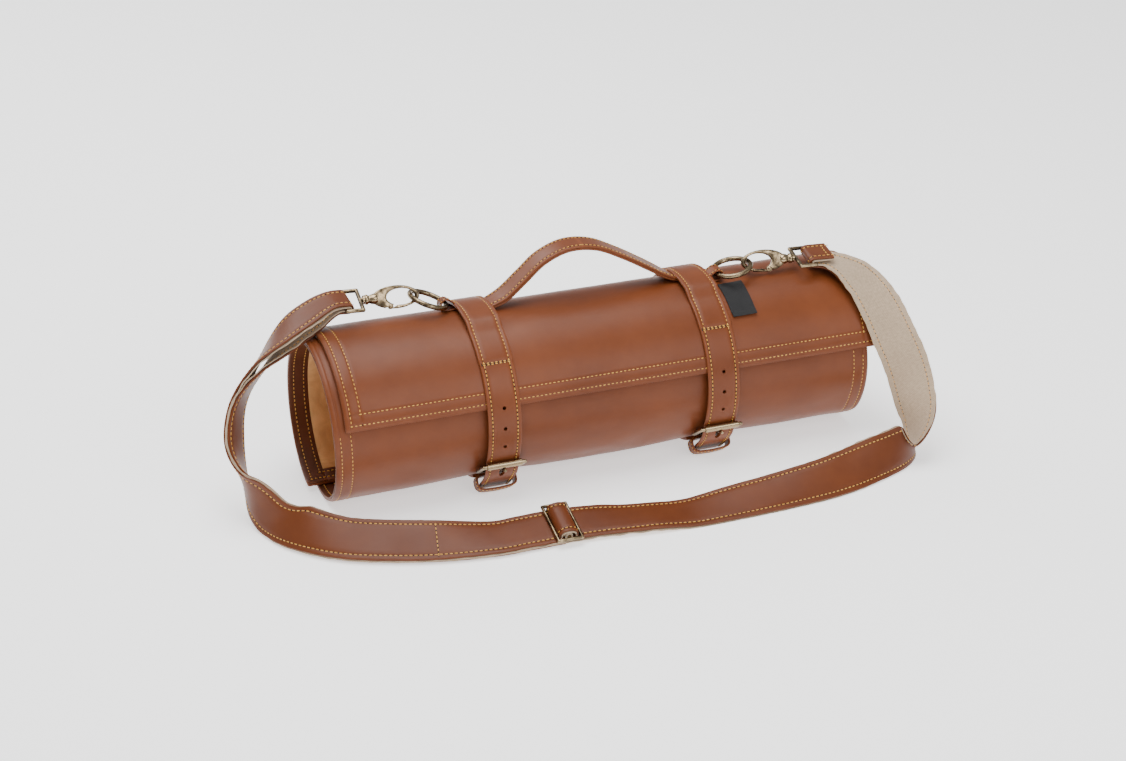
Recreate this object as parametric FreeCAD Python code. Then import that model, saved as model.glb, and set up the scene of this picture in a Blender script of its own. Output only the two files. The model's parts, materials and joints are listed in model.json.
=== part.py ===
"""Brush roll case: a rolled leather wrap with a suede lining, two buckled belts, a top handle
and a clip-on shoulder strap.

Row frame in millimetres. X runs along the roll, -Y is the front with the flap and buckles, +Z is up.
The lengths below are measured from the floor under the middle of the roll. The
finished object is then moved, so that its origin is on the floor under the middle of the whole, strap
and all.

The wrap is one spiral in the YZ plane. A wrap angle of 0 is the front, 90 the top, 180 the back and
270 the bottom. The spiral starts outside at the flap's edge and winds inwards as the angle grows.
"""

import FreeCAD, Part  # noqa: E401, I001  FreeCAD has to be imported first
import math
import os

from FreeCAD import Matrix, Vector

# ---- driving dimensions -------------------------------------------------------------------
ROLL_LENGTH = 414.0
HALF_DEPTH = 65.0  # of the outermost turn, front to back
HALF_HEIGHT = 64.0
CENTRE_Z = 62.5
PITCH = 4.6  # how far the spiral moves in over one turn
FLAP_ANGLE = 14.0  # where the outer end lies
INNER_ANGLE = 628.0  # where the inner end lies, 1.7 turns further in
BOTTOM_Z = 1.6  # the wrap's flat underside, above the belts
LEATHER = 2.0
LINING = 1.3
LAYER_GAP = 0.05
BORDER = 15.0  # width of the leather facing round the lining
BORDER_TURN = 13.4  # the same width as an angle
POCKET = 1.0

BELT_X = 85.0
BELT_WIDTH = 25.0
BELT = 2.2
BELT_GAP = 0.15
BELT_TIP_ANGLE = -58.0
BELT_END_ANGLE = 298.0
BUMP_ANGLE = 94.0  # the belt rises here over the handle's ends and the ring tabs
BUMP = 3.0

HEEL_ANGLE = -39.0
ROLLER_ANGLE = -25.5
CHAPE = 1.5
BAR_R = 1.5
ROLLER_R = 2.5
ROLLER_LENGTH = 26.0
FRAME_HALF = 15.6  # from the belt's middle to the frame's side wires
PRONG_R = 1.2
HOLE_R = 1.5
FREE_HOLES = (14.0, 0.5, -12.5)
FLAT_Z = 0.15  # the belts stand on flats at this height

HANDLE_WIDTH = 20.0
HANDLE_LAYER = 1.7
HANDLE_Y = 7.0
HANDLE_LINE = (
    (-71.0, 129.6),
    (-60.0, 133.2),
    (-46.0, 145.0),
    (-31.0, 157.5),
    (-12.0, 164.5),
    (9.0, 162.5),
    (30.0, 152.5),
    (51.0, 140.0),
    (62.0, 133.0),
    (71.0, 129.6),
)

LABEL_WIDTH = 19.0
LABEL_ANGLES = (48.0, 77.0)

RING_R = 14.0  # to the middle of the wire
WIRE_R = 1.9
TAB_WIDTH = 10.0
TAB = 1.1
TAB_LOOP_X = 102.2
TAB_BORE = 3.5  # wide enough for the ring's bend
AXIS_LEFT = Vector(-174.0, 19.0, 140.0)  # both snap hooks turn about this one line
AXIS_RIGHT = Vector(174.0, -10.0, 134.4)
HOOK_ROLL = {"left": 28.0, "right": 30.0}  # how far each hook's loop leans back
EYE_ROLL = {"left": -8.0, "right": -6.0}
HOOK_THICKNESS = 4.4
PIVOT = Vector(21.8, 0, -6.5)  # the gate's pin, in the hook's own frame
NOSE_INNER = 3.4
WIRE_AT = NOSE_INNER + WIRE_R + 1.2  # the ring's wire, in the hook's own frame
EYE_BAR = 55.0
EYE_HALF = 13.5

STRAP_WIDTH = 32.0
STRAP_LEATHER = 1.5
STRAP_CANVAS = 0.8
END_WIDTH = 22.0  # the strap is folded this narrow through the hook's eye
PLY_GAP = 0.05
STRAP_GAP = 0.4  # between the strap and its return
EYE_CLEAR = BAR_R + 0.25  # inside the strap's fold round an eye's bar
EYE_RISE = EYE_CLEAR + STRAP_CANVAS + PLY_GAP + STRAP_LEATHER / 2
TONGUE = 15.0
FLOOR_CLEAR = 0.5

SLIDER_X = -62.0
SLIDER_BAR = 1.2
SLIDER_HALF = (8.8, 18.0)  # along and across the strap, to the middle of the wire
HUMP_OUTER = 7.2

ALONG_X = Vector(1, 0, 0)
os.makedirs("parts", exist_ok=True)

PIECES = {}
JOINTS = {}  # where each joint is, and its axis


def keep(name, *solids):
    """Keeps one node, as one solid or a group of separate ones."""
    shape = solids[0] if len(solids) == 1 else Part.makeCompound(list(solids))
    if not shape.Solids:
        raise ValueError(f"{name} has no solid")
    for solid in shape.Solids:
        if not solid.isValid() or solid.Volume <= 0:
            raise ValueError(f"{name} has a bad solid")
    PIECES[name] = shape


def write_all():
    """Moves the whole object so that its origin is under the middle of its box, and writes it."""
    box = Part.makeCompound(list(PIECES.values())).optimalBoundingBox()
    shift = Vector(-(box.XMin + box.XMax) / 2, -(box.YMin + box.YMax) / 2, -box.ZMin)
    for name, shape in PIECES.items():
        shape.translate(shift)
        shape.exportStep(f"parts/{name}.step")
        print(f"{name}: {len(shape.Solids)} solids, {shape.Volume:.0f} mm3")
    print("moved by", [round(c, 4) for c in shift])
    for name, (place, axis) in JOINTS.items():
        print(f"joint {name}:", [round(c, 4) for c in place + shift], [round(c, 6) for c in axis])


# ---- the spiral ---------------------------------------------------------------------------
def wrap_surface(angle):
    """The outer leather face at a wrap angle, as (y, z)."""
    inward = PITCH * (angle - FLAP_ANGLE) / 360
    turn = math.radians(angle)
    y = -(HALF_DEPTH - inward) * math.cos(turn)
    z = CENTRE_Z + (HALF_HEIGHT - inward) * math.sin(turn)
    floor = BOTTOM_Z - 0.16 + PITCH * (angle - 270) / 360
    return y, 0.5 * (z + floor + math.hypot(z - floor, 1.6))


def outward(angle):
    """The unit direction out of the wrap at a wrap angle, as (y, z)."""
    y0, z0 = wrap_surface(angle - 0.5)
    y1, z1 = wrap_surface(angle + 0.5)
    length = math.hypot(y1 - y0, z1 - z0)
    return -(z1 - z0) / length, (y1 - y0) / length


def wrap_point(angle, height):
    """A point above (or, if negative, below) the outer leather face, as (y, z)."""
    y, z = wrap_surface(angle)
    ny, nz = outward(angle)
    return y + height * ny, z + height * nz


def angles(start, stop, step=6.0):
    """Evenly spaced angles from start to stop, about step apart."""
    count = max(2, math.ceil(abs(stop - start) / step))
    return [start + (stop - start) * i / count for i in range(count + 1)]


# ---- bands: flat strips bent along a line -------------------------------------------------
def in_yz(point):
    return Vector(0, point[0], point[1])


def in_xz(point):
    return Vector(point[0], 0, point[1])


def curve(points):
    line = Part.BSplineCurve()
    line.interpolate(points)
    return line.toShape()


def offset_line(line, distance):
    """The points of a plane line moved sideways, to its left when distance is positive."""
    moved = []
    for i, (p, q) in enumerate(line):
        p0, q0 = line[max(i - 1, 0)]
        p1, q1 = line[min(i + 1, len(line) - 1)]
        length = math.hypot(p1 - p0, q1 - q0)
        moved.append((p - distance * (q1 - q0) / length, q + distance * (p1 - p0) / length))
    return moved


def band(line, thickness, plane, along):
    """A strip of even thickness centred on a plane line, extruded along a vector."""
    left = [plane(p) for p in offset_line(line, thickness / 2)]
    right = [plane(p) for p in offset_line(line, -thickness / 2)]
    ends = [Part.makeLine(left[-1], right[-1]), Part.makeLine(right[0], left[0])]
    wire = Part.Wire([curve(left), ends[0], curve(right), ends[1]])
    return Part.Face(wire).extrude(along)


def wrap_band(start, stop, low, high, x0, x1):
    """A strip that follows the spiral between two heights over the outer leather face."""
    line = [wrap_point(a, (low + high) / 2) for a in angles(start, stop)]
    strip = band(line, high - low, in_yz, ALONG_X * (x1 - x0))
    strip.translate(ALONG_X * x0)
    return strip


def sleeve(start, axis, length, inner, outer):
    """A tube from start along an axis."""
    hollow = Part.makeCylinder(inner, length, start, axis)
    return Part.makeCylinder(outer, length, start, axis).cut(hollow)


def rod(a, b, radius):
    return Part.makeCylinder(radius, (b - a).Length, a, b - a)


def ball(centre, radius):
    return Part.makeSphere(radius, centre)


def block(low, high):
    size = high - low
    return Part.makeBox(size.x, size.y, size.z, low)


# ---- the wrap -----------------------------------------------------------------------------
def make_wrap():
    """Outer leather, suede lining inside a leather facing, and the brush pockets."""
    half = ROLL_LENGTH / 2
    under = -LEATHER - LAYER_GAP
    deep = under - LINING
    inset = half - BORDER - LAYER_GAP
    keep("outer_panel", wrap_band(FLAP_ANGLE, INNER_ANGLE, -LEATHER, 0, -half, half))
    for name, x0 in (("left", -half), ("right", half - BORDER)):
        strip = wrap_band(FLAP_ANGLE, INNER_ANGLE, deep, under, x0, x0 + BORDER)
        keep(f"{name}_end_facing", strip)
    first, last = FLAP_ANGLE + BORDER_TURN, INNER_ANGLE - BORDER_TURN - 1
    keep("flap_facing", wrap_band(FLAP_ANGLE, first, deep, under, -inset, inset))
    keep("inner_edge_facing", wrap_band(last, INNER_ANGLE, deep, under, -inset, inset))
    keep("suede_lining", wrap_band(first + 0.1, last - 0.1, deep, under, -inset, inset))
    bottom = deep - LAYER_GAP
    pockets = []
    edges = [-168, -140, -112, -86, -60, -36, -12, 10, 32, 52, 72, 92, 110, 128]
    for x0, x1 in zip(edges, edges[1:]):
        pockets.append(wrap_band(430, 560, bottom - POCKET, bottom, x0 + 0.4, x1 - 0.4))
    keep("brush_pockets", *pockets)


# ---- belts and buckles --------------------------------------------------------------------
def smooth_step(value, low, high):
    share = min(1.0, max(0.0, (value - low) / (high - low)))
    return share * share * (3 - 2 * share)


def belt_height(angle):
    """How far the belt's inner face stands off the spiral."""
    bump = BUMP * (1 - smooth_step(abs(angle - BUMP_ANGLE), 18, 30))
    over_bar = 2.9 * smooth_step(-angle, 24, 37) + 3.0 * smooth_step(-angle, 48, 66)
    return BELT_GAP + bump + over_bar


def belt_frame(angle, height):
    """A point over the belt's path as a vector in the YZ plane, and the outward direction there."""
    y, z = wrap_point(angle, height)
    ny, nz = outward(angle)
    return Vector(0, y, z), Vector(0, ny, nz)


def belt_line(start, stop, extra, step=4.0):
    return [wrap_point(a, belt_height(a) + extra) for a in angles(start, stop, step)]


def make_belt(side, x):
    """The long belt: free from its tip to above the flap's edge, then sewn on round the back."""
    shift = ALONG_X * (x - BELT_WIDTH / 2)
    belt = band(belt_line(BELT_TIP_ANGLE, BELT_END_ANGLE, BELT / 2), BELT, in_yz, ALONG_X * BELT_WIDTH)
    belt.translate(shift)
    for angle in FREE_HOLES:
        base, out = belt_frame(angle, belt_height(angle) - 1)
        belt = belt.cut(Part.makeCylinder(HOLE_R, BELT + 2, base + ALONG_X * x, out))
    base, out = belt_frame(-32.5, belt_height(-32.5) - 2)
    base += ALONG_X * x
    down = out.cross(ALONG_X)
    slot = [Part.makeCylinder(2.0, BELT + 4, base + down * s, out) for s in (-4.4, 0, 4.4)]
    slot.append(rod_box(base, out, down, 4.0, 8.8, BELT + 4))
    belt = belt.cut(slot[0].multiFuse(slot[1:]))
    below = block(Vector(-300, -100, -20), Vector(300, 100, FLAT_Z))
    keep(f"{side}_belt", belt.cut(below))


def rod_box(base, out, down, width, length, height):
    """A box that stands on base along out, centred across X and along down."""
    box = Part.makeBox(width, length, height, Vector(-width / 2, -length / 2, 0))
    turn = Matrix(1, 0, 0, base.x, 0, down.y, out.y, base.y, 0, down.z, out.z, base.z, 0, 0, 0, 1)
    return box.transformGeometry(turn)


def half_loop(centre, out, ahead, inner, outer, width):
    """Half a sleeve along X, on the side of centre that ahead points to."""
    start = centre - ALONG_X * (width / 2)
    side = rod_box(centre - out * 10, out, ahead, width, 20, 20)
    side.translate(ahead * 9.99)
    return sleeve(start, ALONG_X, width, inner, outer).common(side)


def make_chape(side, x, heel, heel_out):
    """The buckle's own strap: along the wrap, round the heel bar and back under the belt."""
    turn = HEEL_ANGLE + 360
    low = BELT_GAP
    high = BELT_GAP + CHAPE + 2 * BAR_R + 0.2
    width = BELT_WIDTH - 1
    ahead = heel_out.cross(ALONG_X) * -1
    legs = []
    for start, height in ((BELT_END_ANGLE + 0.7, low), (BELT_END_ANGLE + 6, high)):
        leg = wrap_band(start, turn, height, height + CHAPE, x - width / 2, x + width / 2)
        legs.append(leg)
    bend = half_loop(heel, heel_out, ahead, BAR_R + 0.1, BAR_R + 0.1 + CHAPE, width)
    slot = rod_box(heel - heel_out * 8, heel_out, ahead, 4.4, 9.0, 16)
    keep(f"{side}_buckle_chape", legs[0].multiFuse([legs[1], bend]).cut(slot))


def make_buckle(side, x):
    """Chape, keeper, frame with its heel bar, prong and roller."""
    heel_height = BELT_GAP + CHAPE + BAR_R + 0.1
    heel, heel_out = belt_frame(HEEL_ANGLE + 360, heel_height)
    over = belt_height(ROLLER_ANGLE) + BELT + ROLLER_R + 0.25
    front, front_out = belt_frame(ROLLER_ANGLE, over)
    middle = ALONG_X * x
    heel, front = heel + middle, front + middle
    side_step = ALONG_X * FRAME_HALF

    make_chape(side, x, heel, heel_out)

    corners = [heel - side_step, front - side_step, front + side_step, heel + side_step]
    frame = rod(corners[0], corners[1], BAR_R).fuse(rod(corners[2], corners[3], BAR_R))
    frame = frame.multiFuse([rod(corners[1], corners[2], BAR_R), rod(corners[3], corners[0], BAR_R)])
    frame = frame.multiFuse([ball(c, BAR_R) for c in corners])
    keep(f"{side}_buckle_frame", frame.removeSplitter())

    half = ALONG_X * (ROLLER_LENGTH / 2)
    roller = sleeve(front - half, ALONG_X, ROLLER_LENGTH, BAR_R + 0.08, ROLLER_R)
    keep(f"{side}_buckle_roller", roller)

    eye = rod(heel - ALONG_X * 1.8, heel + ALONG_X * 1.8, BAR_R + 1.3)
    hole_at, hole_out = belt_frame(-31.8, belt_height(-31.8) + BELT / 2)
    tip, tip_out = belt_frame(ROLLER_ANGLE - 2.2, over + ROLLER_R + PRONG_R - 0.3)
    hole_at, tip = hole_at + middle, tip + middle
    rise = heel + heel_out * 2.2
    prong = eye.multiFuse([rod(rise, hole_at, PRONG_R), rod(hole_at, tip, PRONG_R)])
    prong = prong.multiFuse([ball(p, PRONG_R) for p in (rise, hole_at, tip)])
    prong = prong.cut(rod(heel - half, heel + half, BAR_R + 0.08))
    keep(f"{side}_buckle_prong", prong)
    JOINTS[f"{side}_buckle_lift"] = (heel, ALONG_X)
    JOINTS[f"{side}_roller_spin"] = (front, ALONG_X)


def make_keeper(side, x):
    """The leather loop that holds the belt's tip down."""
    angle = -52.0
    outer_face = belt_height(angle) + BELT
    base, out = belt_frame(angle, 0)
    low = -PITCH + BELT_GAP + CHAPE + 1.7
    high = outer_face + 2.4
    down = out.cross(ALONG_X)
    length, wall, width, height = 9.0, 1.4, BELT_WIDTH + 1.6, high - low
    centre = base + ALONG_X * x + out * low
    inner = rod_box(centre, out, down, width, length + 2, height)
    outer = rod_box(centre - out * wall, out, down, width + 2 * wall, length, height + 2 * wall)
    keep(f"{side}_keeper", outer.cut(inner))


# ---- handle -------------------------------------------------------------------------------
def make_handle():
    """Two sewn layers in an arch, and their flat ends under the belts."""
    along = Vector(0, HANDLE_WIDTH, 0)
    start = Vector(0, HANDLE_Y - HANDLE_WIDTH / 2, 0)
    middle = Part.BSplineCurve()
    middle.interpolate([in_xz(p) for p in HANDLE_LINE])
    fine = [(v.x, v.z) for v in middle.toShape().discretize(25)]
    for name, shift in (("handle_top_layer", 1), ("handle_under_layer", -1)):
        line = offset_line(fine, shift * (HANDLE_LAYER + LAYER_GAP) / 2)
        strip = band(line, HANDLE_LAYER, in_xz, along)
        strip.translate(start)
        keep(name, strip)
    for name, sign in (("left", -1), ("right", 1)):
        near, far = sorted((sign * 71.5, sign * (BELT_X - 0.5)))
        turn = math.degrees(HANDLE_WIDTH / 2 / HALF_HEIGHT)
        middle_angle = 90 + math.degrees(HANDLE_Y / HALF_HEIGHT)
        plate = wrap_band(middle_angle - turn, middle_angle + turn, BELT_GAP, 2.4, near, far)
        keep(f"handle_{name}_end", plate)


def make_label():
    """The plain woven label beside the right belt."""
    x0 = BELT_X + BELT_WIDTH / 2 + 0.3
    keep("woven_label", wrap_band(LABEL_ANGLES[0], LABEL_ANGLES[1], 0.15, 0.85, x0, x0 + LABEL_WIDTH))


# ---- rings, tabs and snap hooks -----------------------------------------------------------
def axis_point(x):
    share = (x - AXIS_LEFT.x) / (AXIS_RIGHT.x - AXIS_LEFT.x)
    return AXIS_LEFT + (AXIS_RIGHT - AXIS_LEFT) * share


def top_height(y):
    """The height of the flap's leather over a point near the top."""
    inward = PITCH * (90 - FLAP_ANGLE) / 360
    return CENTRE_Z + (HALF_HEIGHT - inward) * math.sqrt(1 - (y / (HALF_DEPTH - inward)) ** 2)


def ring_ends(sign):
    """The middle of the ring's wire in its tab, and on the far side, which is on the swivel line."""
    y = axis_point(sign * (TAB_LOOP_X + RING_R)).y
    near = Vector(sign * TAB_LOOP_X, y, top_height(y) + 0.25 + TAB + TAB_BORE)
    line = (AXIS_RIGHT - AXIS_LEFT).normalize() * sign
    start = axis_point(sign * TAB_LOOP_X)
    back = start - near
    along = back.dot(line)
    reach = -along + math.sqrt(along**2 - back.dot(back) + 4 * RING_R**2)
    return near, start + line * reach


def make_ring(side, sign):
    """The round ring, and the leather tab that ties it under the belt's edge."""
    near, far = ring_ends(sign)
    reach = (far - near).normalize()
    tangent = Vector(0, 1, 0)
    normal = reach.cross(tangent).normalize()
    centre = near + reach * RING_R
    keep(f"{side}_ring", Part.makeTorus(RING_R, WIRE_R, centre, normal))
    JOINTS[f"{side}_ring_turn"] = (centre, normal)

    slope = -near.y / HALF_DEPTH  # the flap falls away from the top at this slope
    half = TAB_WIDTH / 2
    middle = near + ALONG_X * (sign * 0.55)
    base_z = near.z - TAB_BORE - TAB
    inner_x = sign * (BELT_X + 1.5)
    start = middle - tangent * half
    tab = Part.makeCylinder(TAB_BORE + TAB, TAB_WIDTH, start, tangent)
    for low in (0.0, TAB + 0.1):
        x0, x1 = sorted((inner_x, middle.x - sign * 2 * low))
        z = base_z + low
        tab = tab.fuse(block(Vector(x0, near.y - half, z), Vector(x1, near.y + half, z + TAB)))
    tab = tab.cut(Part.makeCylinder(TAB_BORE, TAB_WIDTH, start, tangent))
    tab.rotate(near, ALONG_X, math.degrees(math.atan(slope)))
    keep(f"{side}_ring_tab", tab)


def oval(centre_x, half_length, half_height, thickness):
    """A flat oval plate in the hook's own frame, where X runs from nose to swivel."""
    ring = Part.Ellipse(Vector(0, 0, 0), half_length, half_height).toShape()
    plate = Part.Face(Part.Wire([ring])).extrude(Vector(0, 0, thickness))
    plate.translate(Vector(0, 0, -thickness / 2))
    plate.rotate(Vector(0, 0, 0), ALONG_X, 90)
    plate.translate(Vector(centre_x, 0, 0))
    return plate


def hook_pieces():
    """Body, gate, gate pin and eye of a snap hook in its own frame, with the nose at X = 0."""
    outline = oval(17.5, 17.5, 8.4, HOOK_THICKNESS)
    opening = oval(NOSE_INNER + 10.4, 10.4, 5.9, 20)
    loop = outline.cut(opening)
    barrel = Part.makeCylinder(3.9, 8, Vector(32, 0, 0), ALONG_X)
    bore = Part.makeCylinder(1.88, 7, Vector(34, 0, 0), ALONG_X)
    gate_room = block(Vector(8.3, -5, -9), Vector(23.6, 5, -0.9))
    wide_pin = Part.makeCylinder(2.6, 20, PIVOT + Vector(0, -10, 0), Vector(0, 1, 0))
    body = loop.fuse(barrel).cut(bore).cut(gate_room).cut(wide_pin)
    cheek = Part.makeCylinder(2.5, 1.1, PIVOT + Vector(0, -HOOK_THICKNESS / 2, 0), Vector(0, 1, 0))
    rim = -HOOK_THICKNESS / 2
    link = block(Vector(PIVOT.x, rim, -8.0), Vector(25.5, rim + 1.1, -5.0))
    near = cheek.fuse(link)
    far = near.copy()
    far.translate(Vector(0, HOOK_THICKNESS - 1.1, 0))
    pin = Part.makeCylinder(0.7, HOOK_THICKNESS, PIVOT + Vector(0, -HOOK_THICKNESS / 2, 0), Vector(0, 1, 0))
    body = body.multiFuse([near, far]).cut(pin)

    inside = block(Vector(8.6, -1.0, -9), Vector(19.0, 1.0, -1.2))
    gate = loop.common(inside)
    knuckle = Part.makeCylinder(2.2, 2.0, PIVOT + Vector(0, -1.0, 0), Vector(0, 1, 0))
    arm = block(Vector(17.0, -1.0, -7.9), Vector(21.8, 1.0, -4.9))
    pin_room = Part.makeCylinder(0.78, 9, PIVOT + Vector(0, -4, 0), Vector(0, 1, 0))
    gate = gate.multiFuse([knuckle, arm]).cut(pin_room)

    post = Part.makeCylinder(1.8, 9.2, Vector(34.3, 0, 0), ALONG_X)
    collar = Part.makeCylinder(3.2, 1.2, Vector(40.3, 0, 0), ALONG_X)
    bars = [Vector(43.5, -EYE_HALF, 0), Vector(43.5, EYE_HALF, 0)]
    ends = [Vector(EYE_BAR, -EYE_HALF, 0), Vector(EYE_BAR, EYE_HALF, 0)]
    eye = post.multiFuse([collar, rod(bars[0], bars[1], BAR_R), rod(ends[0], ends[1], BAR_R)])
    eye = eye.multiFuse([rod(bars[0], ends[0], BAR_R), rod(bars[1], ends[1], BAR_R)])
    eye = eye.multiFuse([ball(p, BAR_R) for p in bars + ends])
    return {"body": body, "gate": gate, "gate_pin": pin, "eye": eye}


def hook_place(sign, degrees):
    """The matrix that takes a hook, leaning back by some degrees, to its place on the swivel line."""
    line = (AXIS_RIGHT - AXIS_LEFT).normalize() * sign
    nose = ring_ends(sign)[1] - line * WIRE_AT
    lean = math.radians(degrees)
    up = Vector(0, math.sin(lean), math.cos(lean))
    across = up.cross(line).normalize()
    up = line.cross(across).normalize()
    columns = (line, across, up, nose)
    rows = [[getattr(c, k) for c in columns] for k in ("x", "y", "z")]
    return Matrix(*rows[0], *rows[1], *rows[2], 0, 0, 0, 1)


def make_hook(side, sign):
    """One snap hook. Its eye turns on its own, to face the strap."""
    for name, piece in hook_pieces().items():
        lean = EYE_ROLL[side] if name == "eye" else HOOK_ROLL[side]
        keep(f"{side}_hook_{name}", piece.transformed(hook_place(sign, lean)))
    place = hook_place(sign, HOOK_ROLL[side])
    pivot = place.multVec(PIVOT)
    JOINTS[f"{side}_gate_open"] = (pivot, place.multVec(PIVOT + Vector(0, 1, 0)) - pivot)
    JOINTS["strap_swing"] = (AXIS_LEFT, (AXIS_RIGHT - AXIS_LEFT).normalize())


# ---- shoulder strap -----------------------------------------------------------------------
# Stations along the strap's middle, from the right hook to the left one: x, y, z, and the direction
# that its leather face looks in. Where z is 0 the strap lies on the floor.
STRAP_RIGHT = (
    (191.0, -14.0, 131.2, 0.0, 0.05, -1.0),
    (208.0, -21.0, 131.0, 0.0, 0.15, -0.98),
    (225.0, -30.0, 121.0, 0.15, 0.72, -0.66),
    (233.0, -39.0, 104.0, 0.6, 0.75, -0.15),
    (238.5, -48.0, 80.0, 0.8, 0.6, 0.0),
    (242.0, -58.0, 52.0, 0.92, 0.35, 0.0),
    (246.0, -72.0, 28.0, 0.98, -0.1, 0.0),
    (241.0, -90.0, 0.0, 0.9, -0.45, 0.1),
    (222.0, -106.0, 0.0, 0.6, -0.8, 0.2),
)
STRAP_FRONT = (
    (190.0, -121.0, 0.0, 0.3, -0.9, 0.3),
    (150.0, -130.5, 0.0, 0.12, -0.9, 0.4),
    (110.0, -133.5, 0.0, 0.05, -0.85, 0.55),
    (70.0, -131.0, 0.0, 0.0, -0.65, 0.8),
    (30.0, -126.0, 0.0, 0.0, -0.4, 0.93),
    (-5.0, -120.5, 0.0, 0.0, -0.25, 0.97),
    (-35.0, -120.5, 0.0, 0.0, -0.25, 0.97),
    (SLIDER_X, -120.5, 0.0, 0.0, -0.25, 0.97),
    (-90.0, -120.5, 0.0, 0.0, -0.25, 0.97),
    (-112.0, -120.5, 0.0, 0.0, -0.25, 0.97),
    (-150.0, -116.0, 0.0, -0.1, -0.45, 0.88),
)
STRAP_LEFT = (
    (-182.0, -106.5, 0.0, -0.2, -0.55, 0.8),
    (-213.0, -92.0, 0.0, -0.38, -0.55, 0.74),
    (-240.0, -70.0, 0.0, -0.65, -0.38, 0.65),
    (-256.0, -46.0, 16.0, -0.85, -0.05, 0.45),
    (-266.0, -22.0, 29.0, -0.9, 0.3, 0.1),
    (-269.0, -3.0, 52.0, -0.85, 0.5, -0.1),
    (-262.0, 8.0, 80.0, -0.85, 0.5, 0.05),
    (-245.0, 12.0, 106.0, -0.8, 0.4, 0.35),
    (-222.0, 13.5, 127.5, -0.55, 0.05, 0.8),
    (-201.0, 16.0, 139.0, -0.25, -0.1, 0.93),
    (-187.0, 18.0, 143.6, -0.05, -0.13, 0.98),
)
STEPS = 4  # samples from one station to the next


class Ribbon:
    """The strap's samples: middle, width direction, leather direction, and half its width."""

    def __init__(self):
        ends = [self.beside_eye(sign) for sign in (1, -1)]
        stations = [ends[0], *STRAP_RIGHT, *STRAP_FRONT, *STRAP_LEFT, ends[1]]
        self.rows = self.smooth(stations)
        middles = [Vector(*row[:3]) for row in self.rows]
        self.along = [0.0]
        for a, b in zip(middles, middles[1:]):
            self.along.append(self.along[-1] + (b - a).Length)
        self.frames = []
        last = len(middles) - 1
        for i, row in enumerate(self.rows):
            ahead = (middles[min(i + 1, last)] - middles[max(i - 1, 0)]).normalize()
            across = ahead.cross(Vector(*row[3:])).normalize()
            face = across.cross(ahead).normalize()
            near = min(self.along[i], self.along[-1] - self.along[i])
            half = (END_WIDTH + (STRAP_WIDTH - END_WIDTH) * smooth_step(near, 6, 45)) / 2
            middle = Vector(middles[i])
            doubled = smooth_step(-middle.x, -40, 0)
            depth = STRAP_LEATHER / 2 + PLY_GAP + STRAP_CANVAS
            depth += doubled * (STRAP_GAP + STRAP_CANVAS + PLY_GAP + STRAP_LEATHER)
            resting = FLOOR_CLEAR + half * abs(across.z) + depth * abs(face.z)
            middle.z = 0.5 * (middle.z + resting + math.hypot(middle.z - resting, 1.5))
            self.frames.append((middle, across, face, half))

    @staticmethod
    def beside_eye(sign):
        """Where the strap meets the bar of a hook's eye."""
        side = "right" if sign > 0 else "left"
        place = hook_place(sign, EYE_ROLL[side])
        bar = place.multVec(Vector(EYE_BAR, 0, 0))
        up = place.multVec(Vector(EYE_BAR, 0, 1)) - bar
        middle = bar - up * (sign * EYE_RISE)
        face = up * -sign
        return (*middle, *face)

    @staticmethod
    def smooth(stations):
        """Samples on a smooth line through all the stations."""
        table = [stations[0], *stations, stations[-1]]
        made = []
        for i in range(1, len(table) - 2):
            p, q, r, s = table[i - 1 : i + 3]
            for k in range(STEPS):
                t = k / STEPS
                row = []
                for a, b, c, d in zip(p, q, r, s):
                    bend = (2 * a - 5 * b + 4 * c - d) * t * t + (3 * b - a - 3 * c + d) * t**3
                    row.append(0.5 * (2 * b + (c - a) * t + bend))
                made.append(row)
        made.append(list(stations[-1]))
        return made

    def strip(self, first, last, low, high, trim=0.0):
        """A solid from one sample to another, between two heights on the leather side."""
        rings = []
        for i in range(first, last + 1):
            middle, across, face, half = self.frames[i]
            down, top = low(i), high(i)
            side = across * (half - trim)
            corners = [
                middle - side + face * down,
                middle + side + face * down,
                middle + side + face * top,
                middle - side + face * top,
            ]
            rings.append(Part.makePolygon([*corners, corners[0]]))
        return Part.makeLoft(rings, True, False)

    def gap(self, i):
        """Between the strap's canvas and that of its return, which opens round the eye's bar."""
        near = self.along[-1] - self.along[i]
        return STRAP_GAP + (2 * EYE_CLEAR - STRAP_GAP) * (1 - smooth_step(near, 30, 110))


def make_strap():
    """Leather lined with canvas, and its return from the left hook to the slider."""
    ribbon = Ribbon()
    first_front = STEPS * len(STRAP_RIGHT)
    slider = first_front + STEPS * 8
    first_left = first_front + STEPS * len(STRAP_FRONT)
    last = len(ribbon.frames) - 1
    top = STRAP_LEATHER / 2
    canvas = -top - PLY_GAP
    back = canvas - STRAP_CANVAS
    stretches = (("right", 0, first_front), ("front", first_front, first_left), ("left", first_left, last))
    for name, a, b in stretches:
        keep(f"strap_{name}_leather", ribbon.strip(a, b, lambda i: -top, lambda i: top))
        keep(f"strap_{name}_canvas", ribbon.strip(a, b, lambda i: back, lambda i: canvas, 0.5))
    for name, a, b in (("front", slider, first_left), ("left", first_left, last)):
        plies = (("canvas", 0.0, STRAP_CANVAS, 0.5), ("leather", STRAP_CANVAS + PLY_GAP, STRAP_LEATHER, 0.0))
        for ply, start, thickness, trim in plies:
            strip = ribbon.strip(
                a,
                b,
                lambda i, s=start, t=thickness: back - ribbon.gap(i) - s - t,
                lambda i, s=start: back - ribbon.gap(i) - s,
                trim,
            )
            keep(f"return_{name}_{ply}", strip)
    make_slider(ribbon.frames[slider])
    for side, sign in (("left", -1), ("right", 1)):
        make_eye_fold(side, sign)


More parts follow.
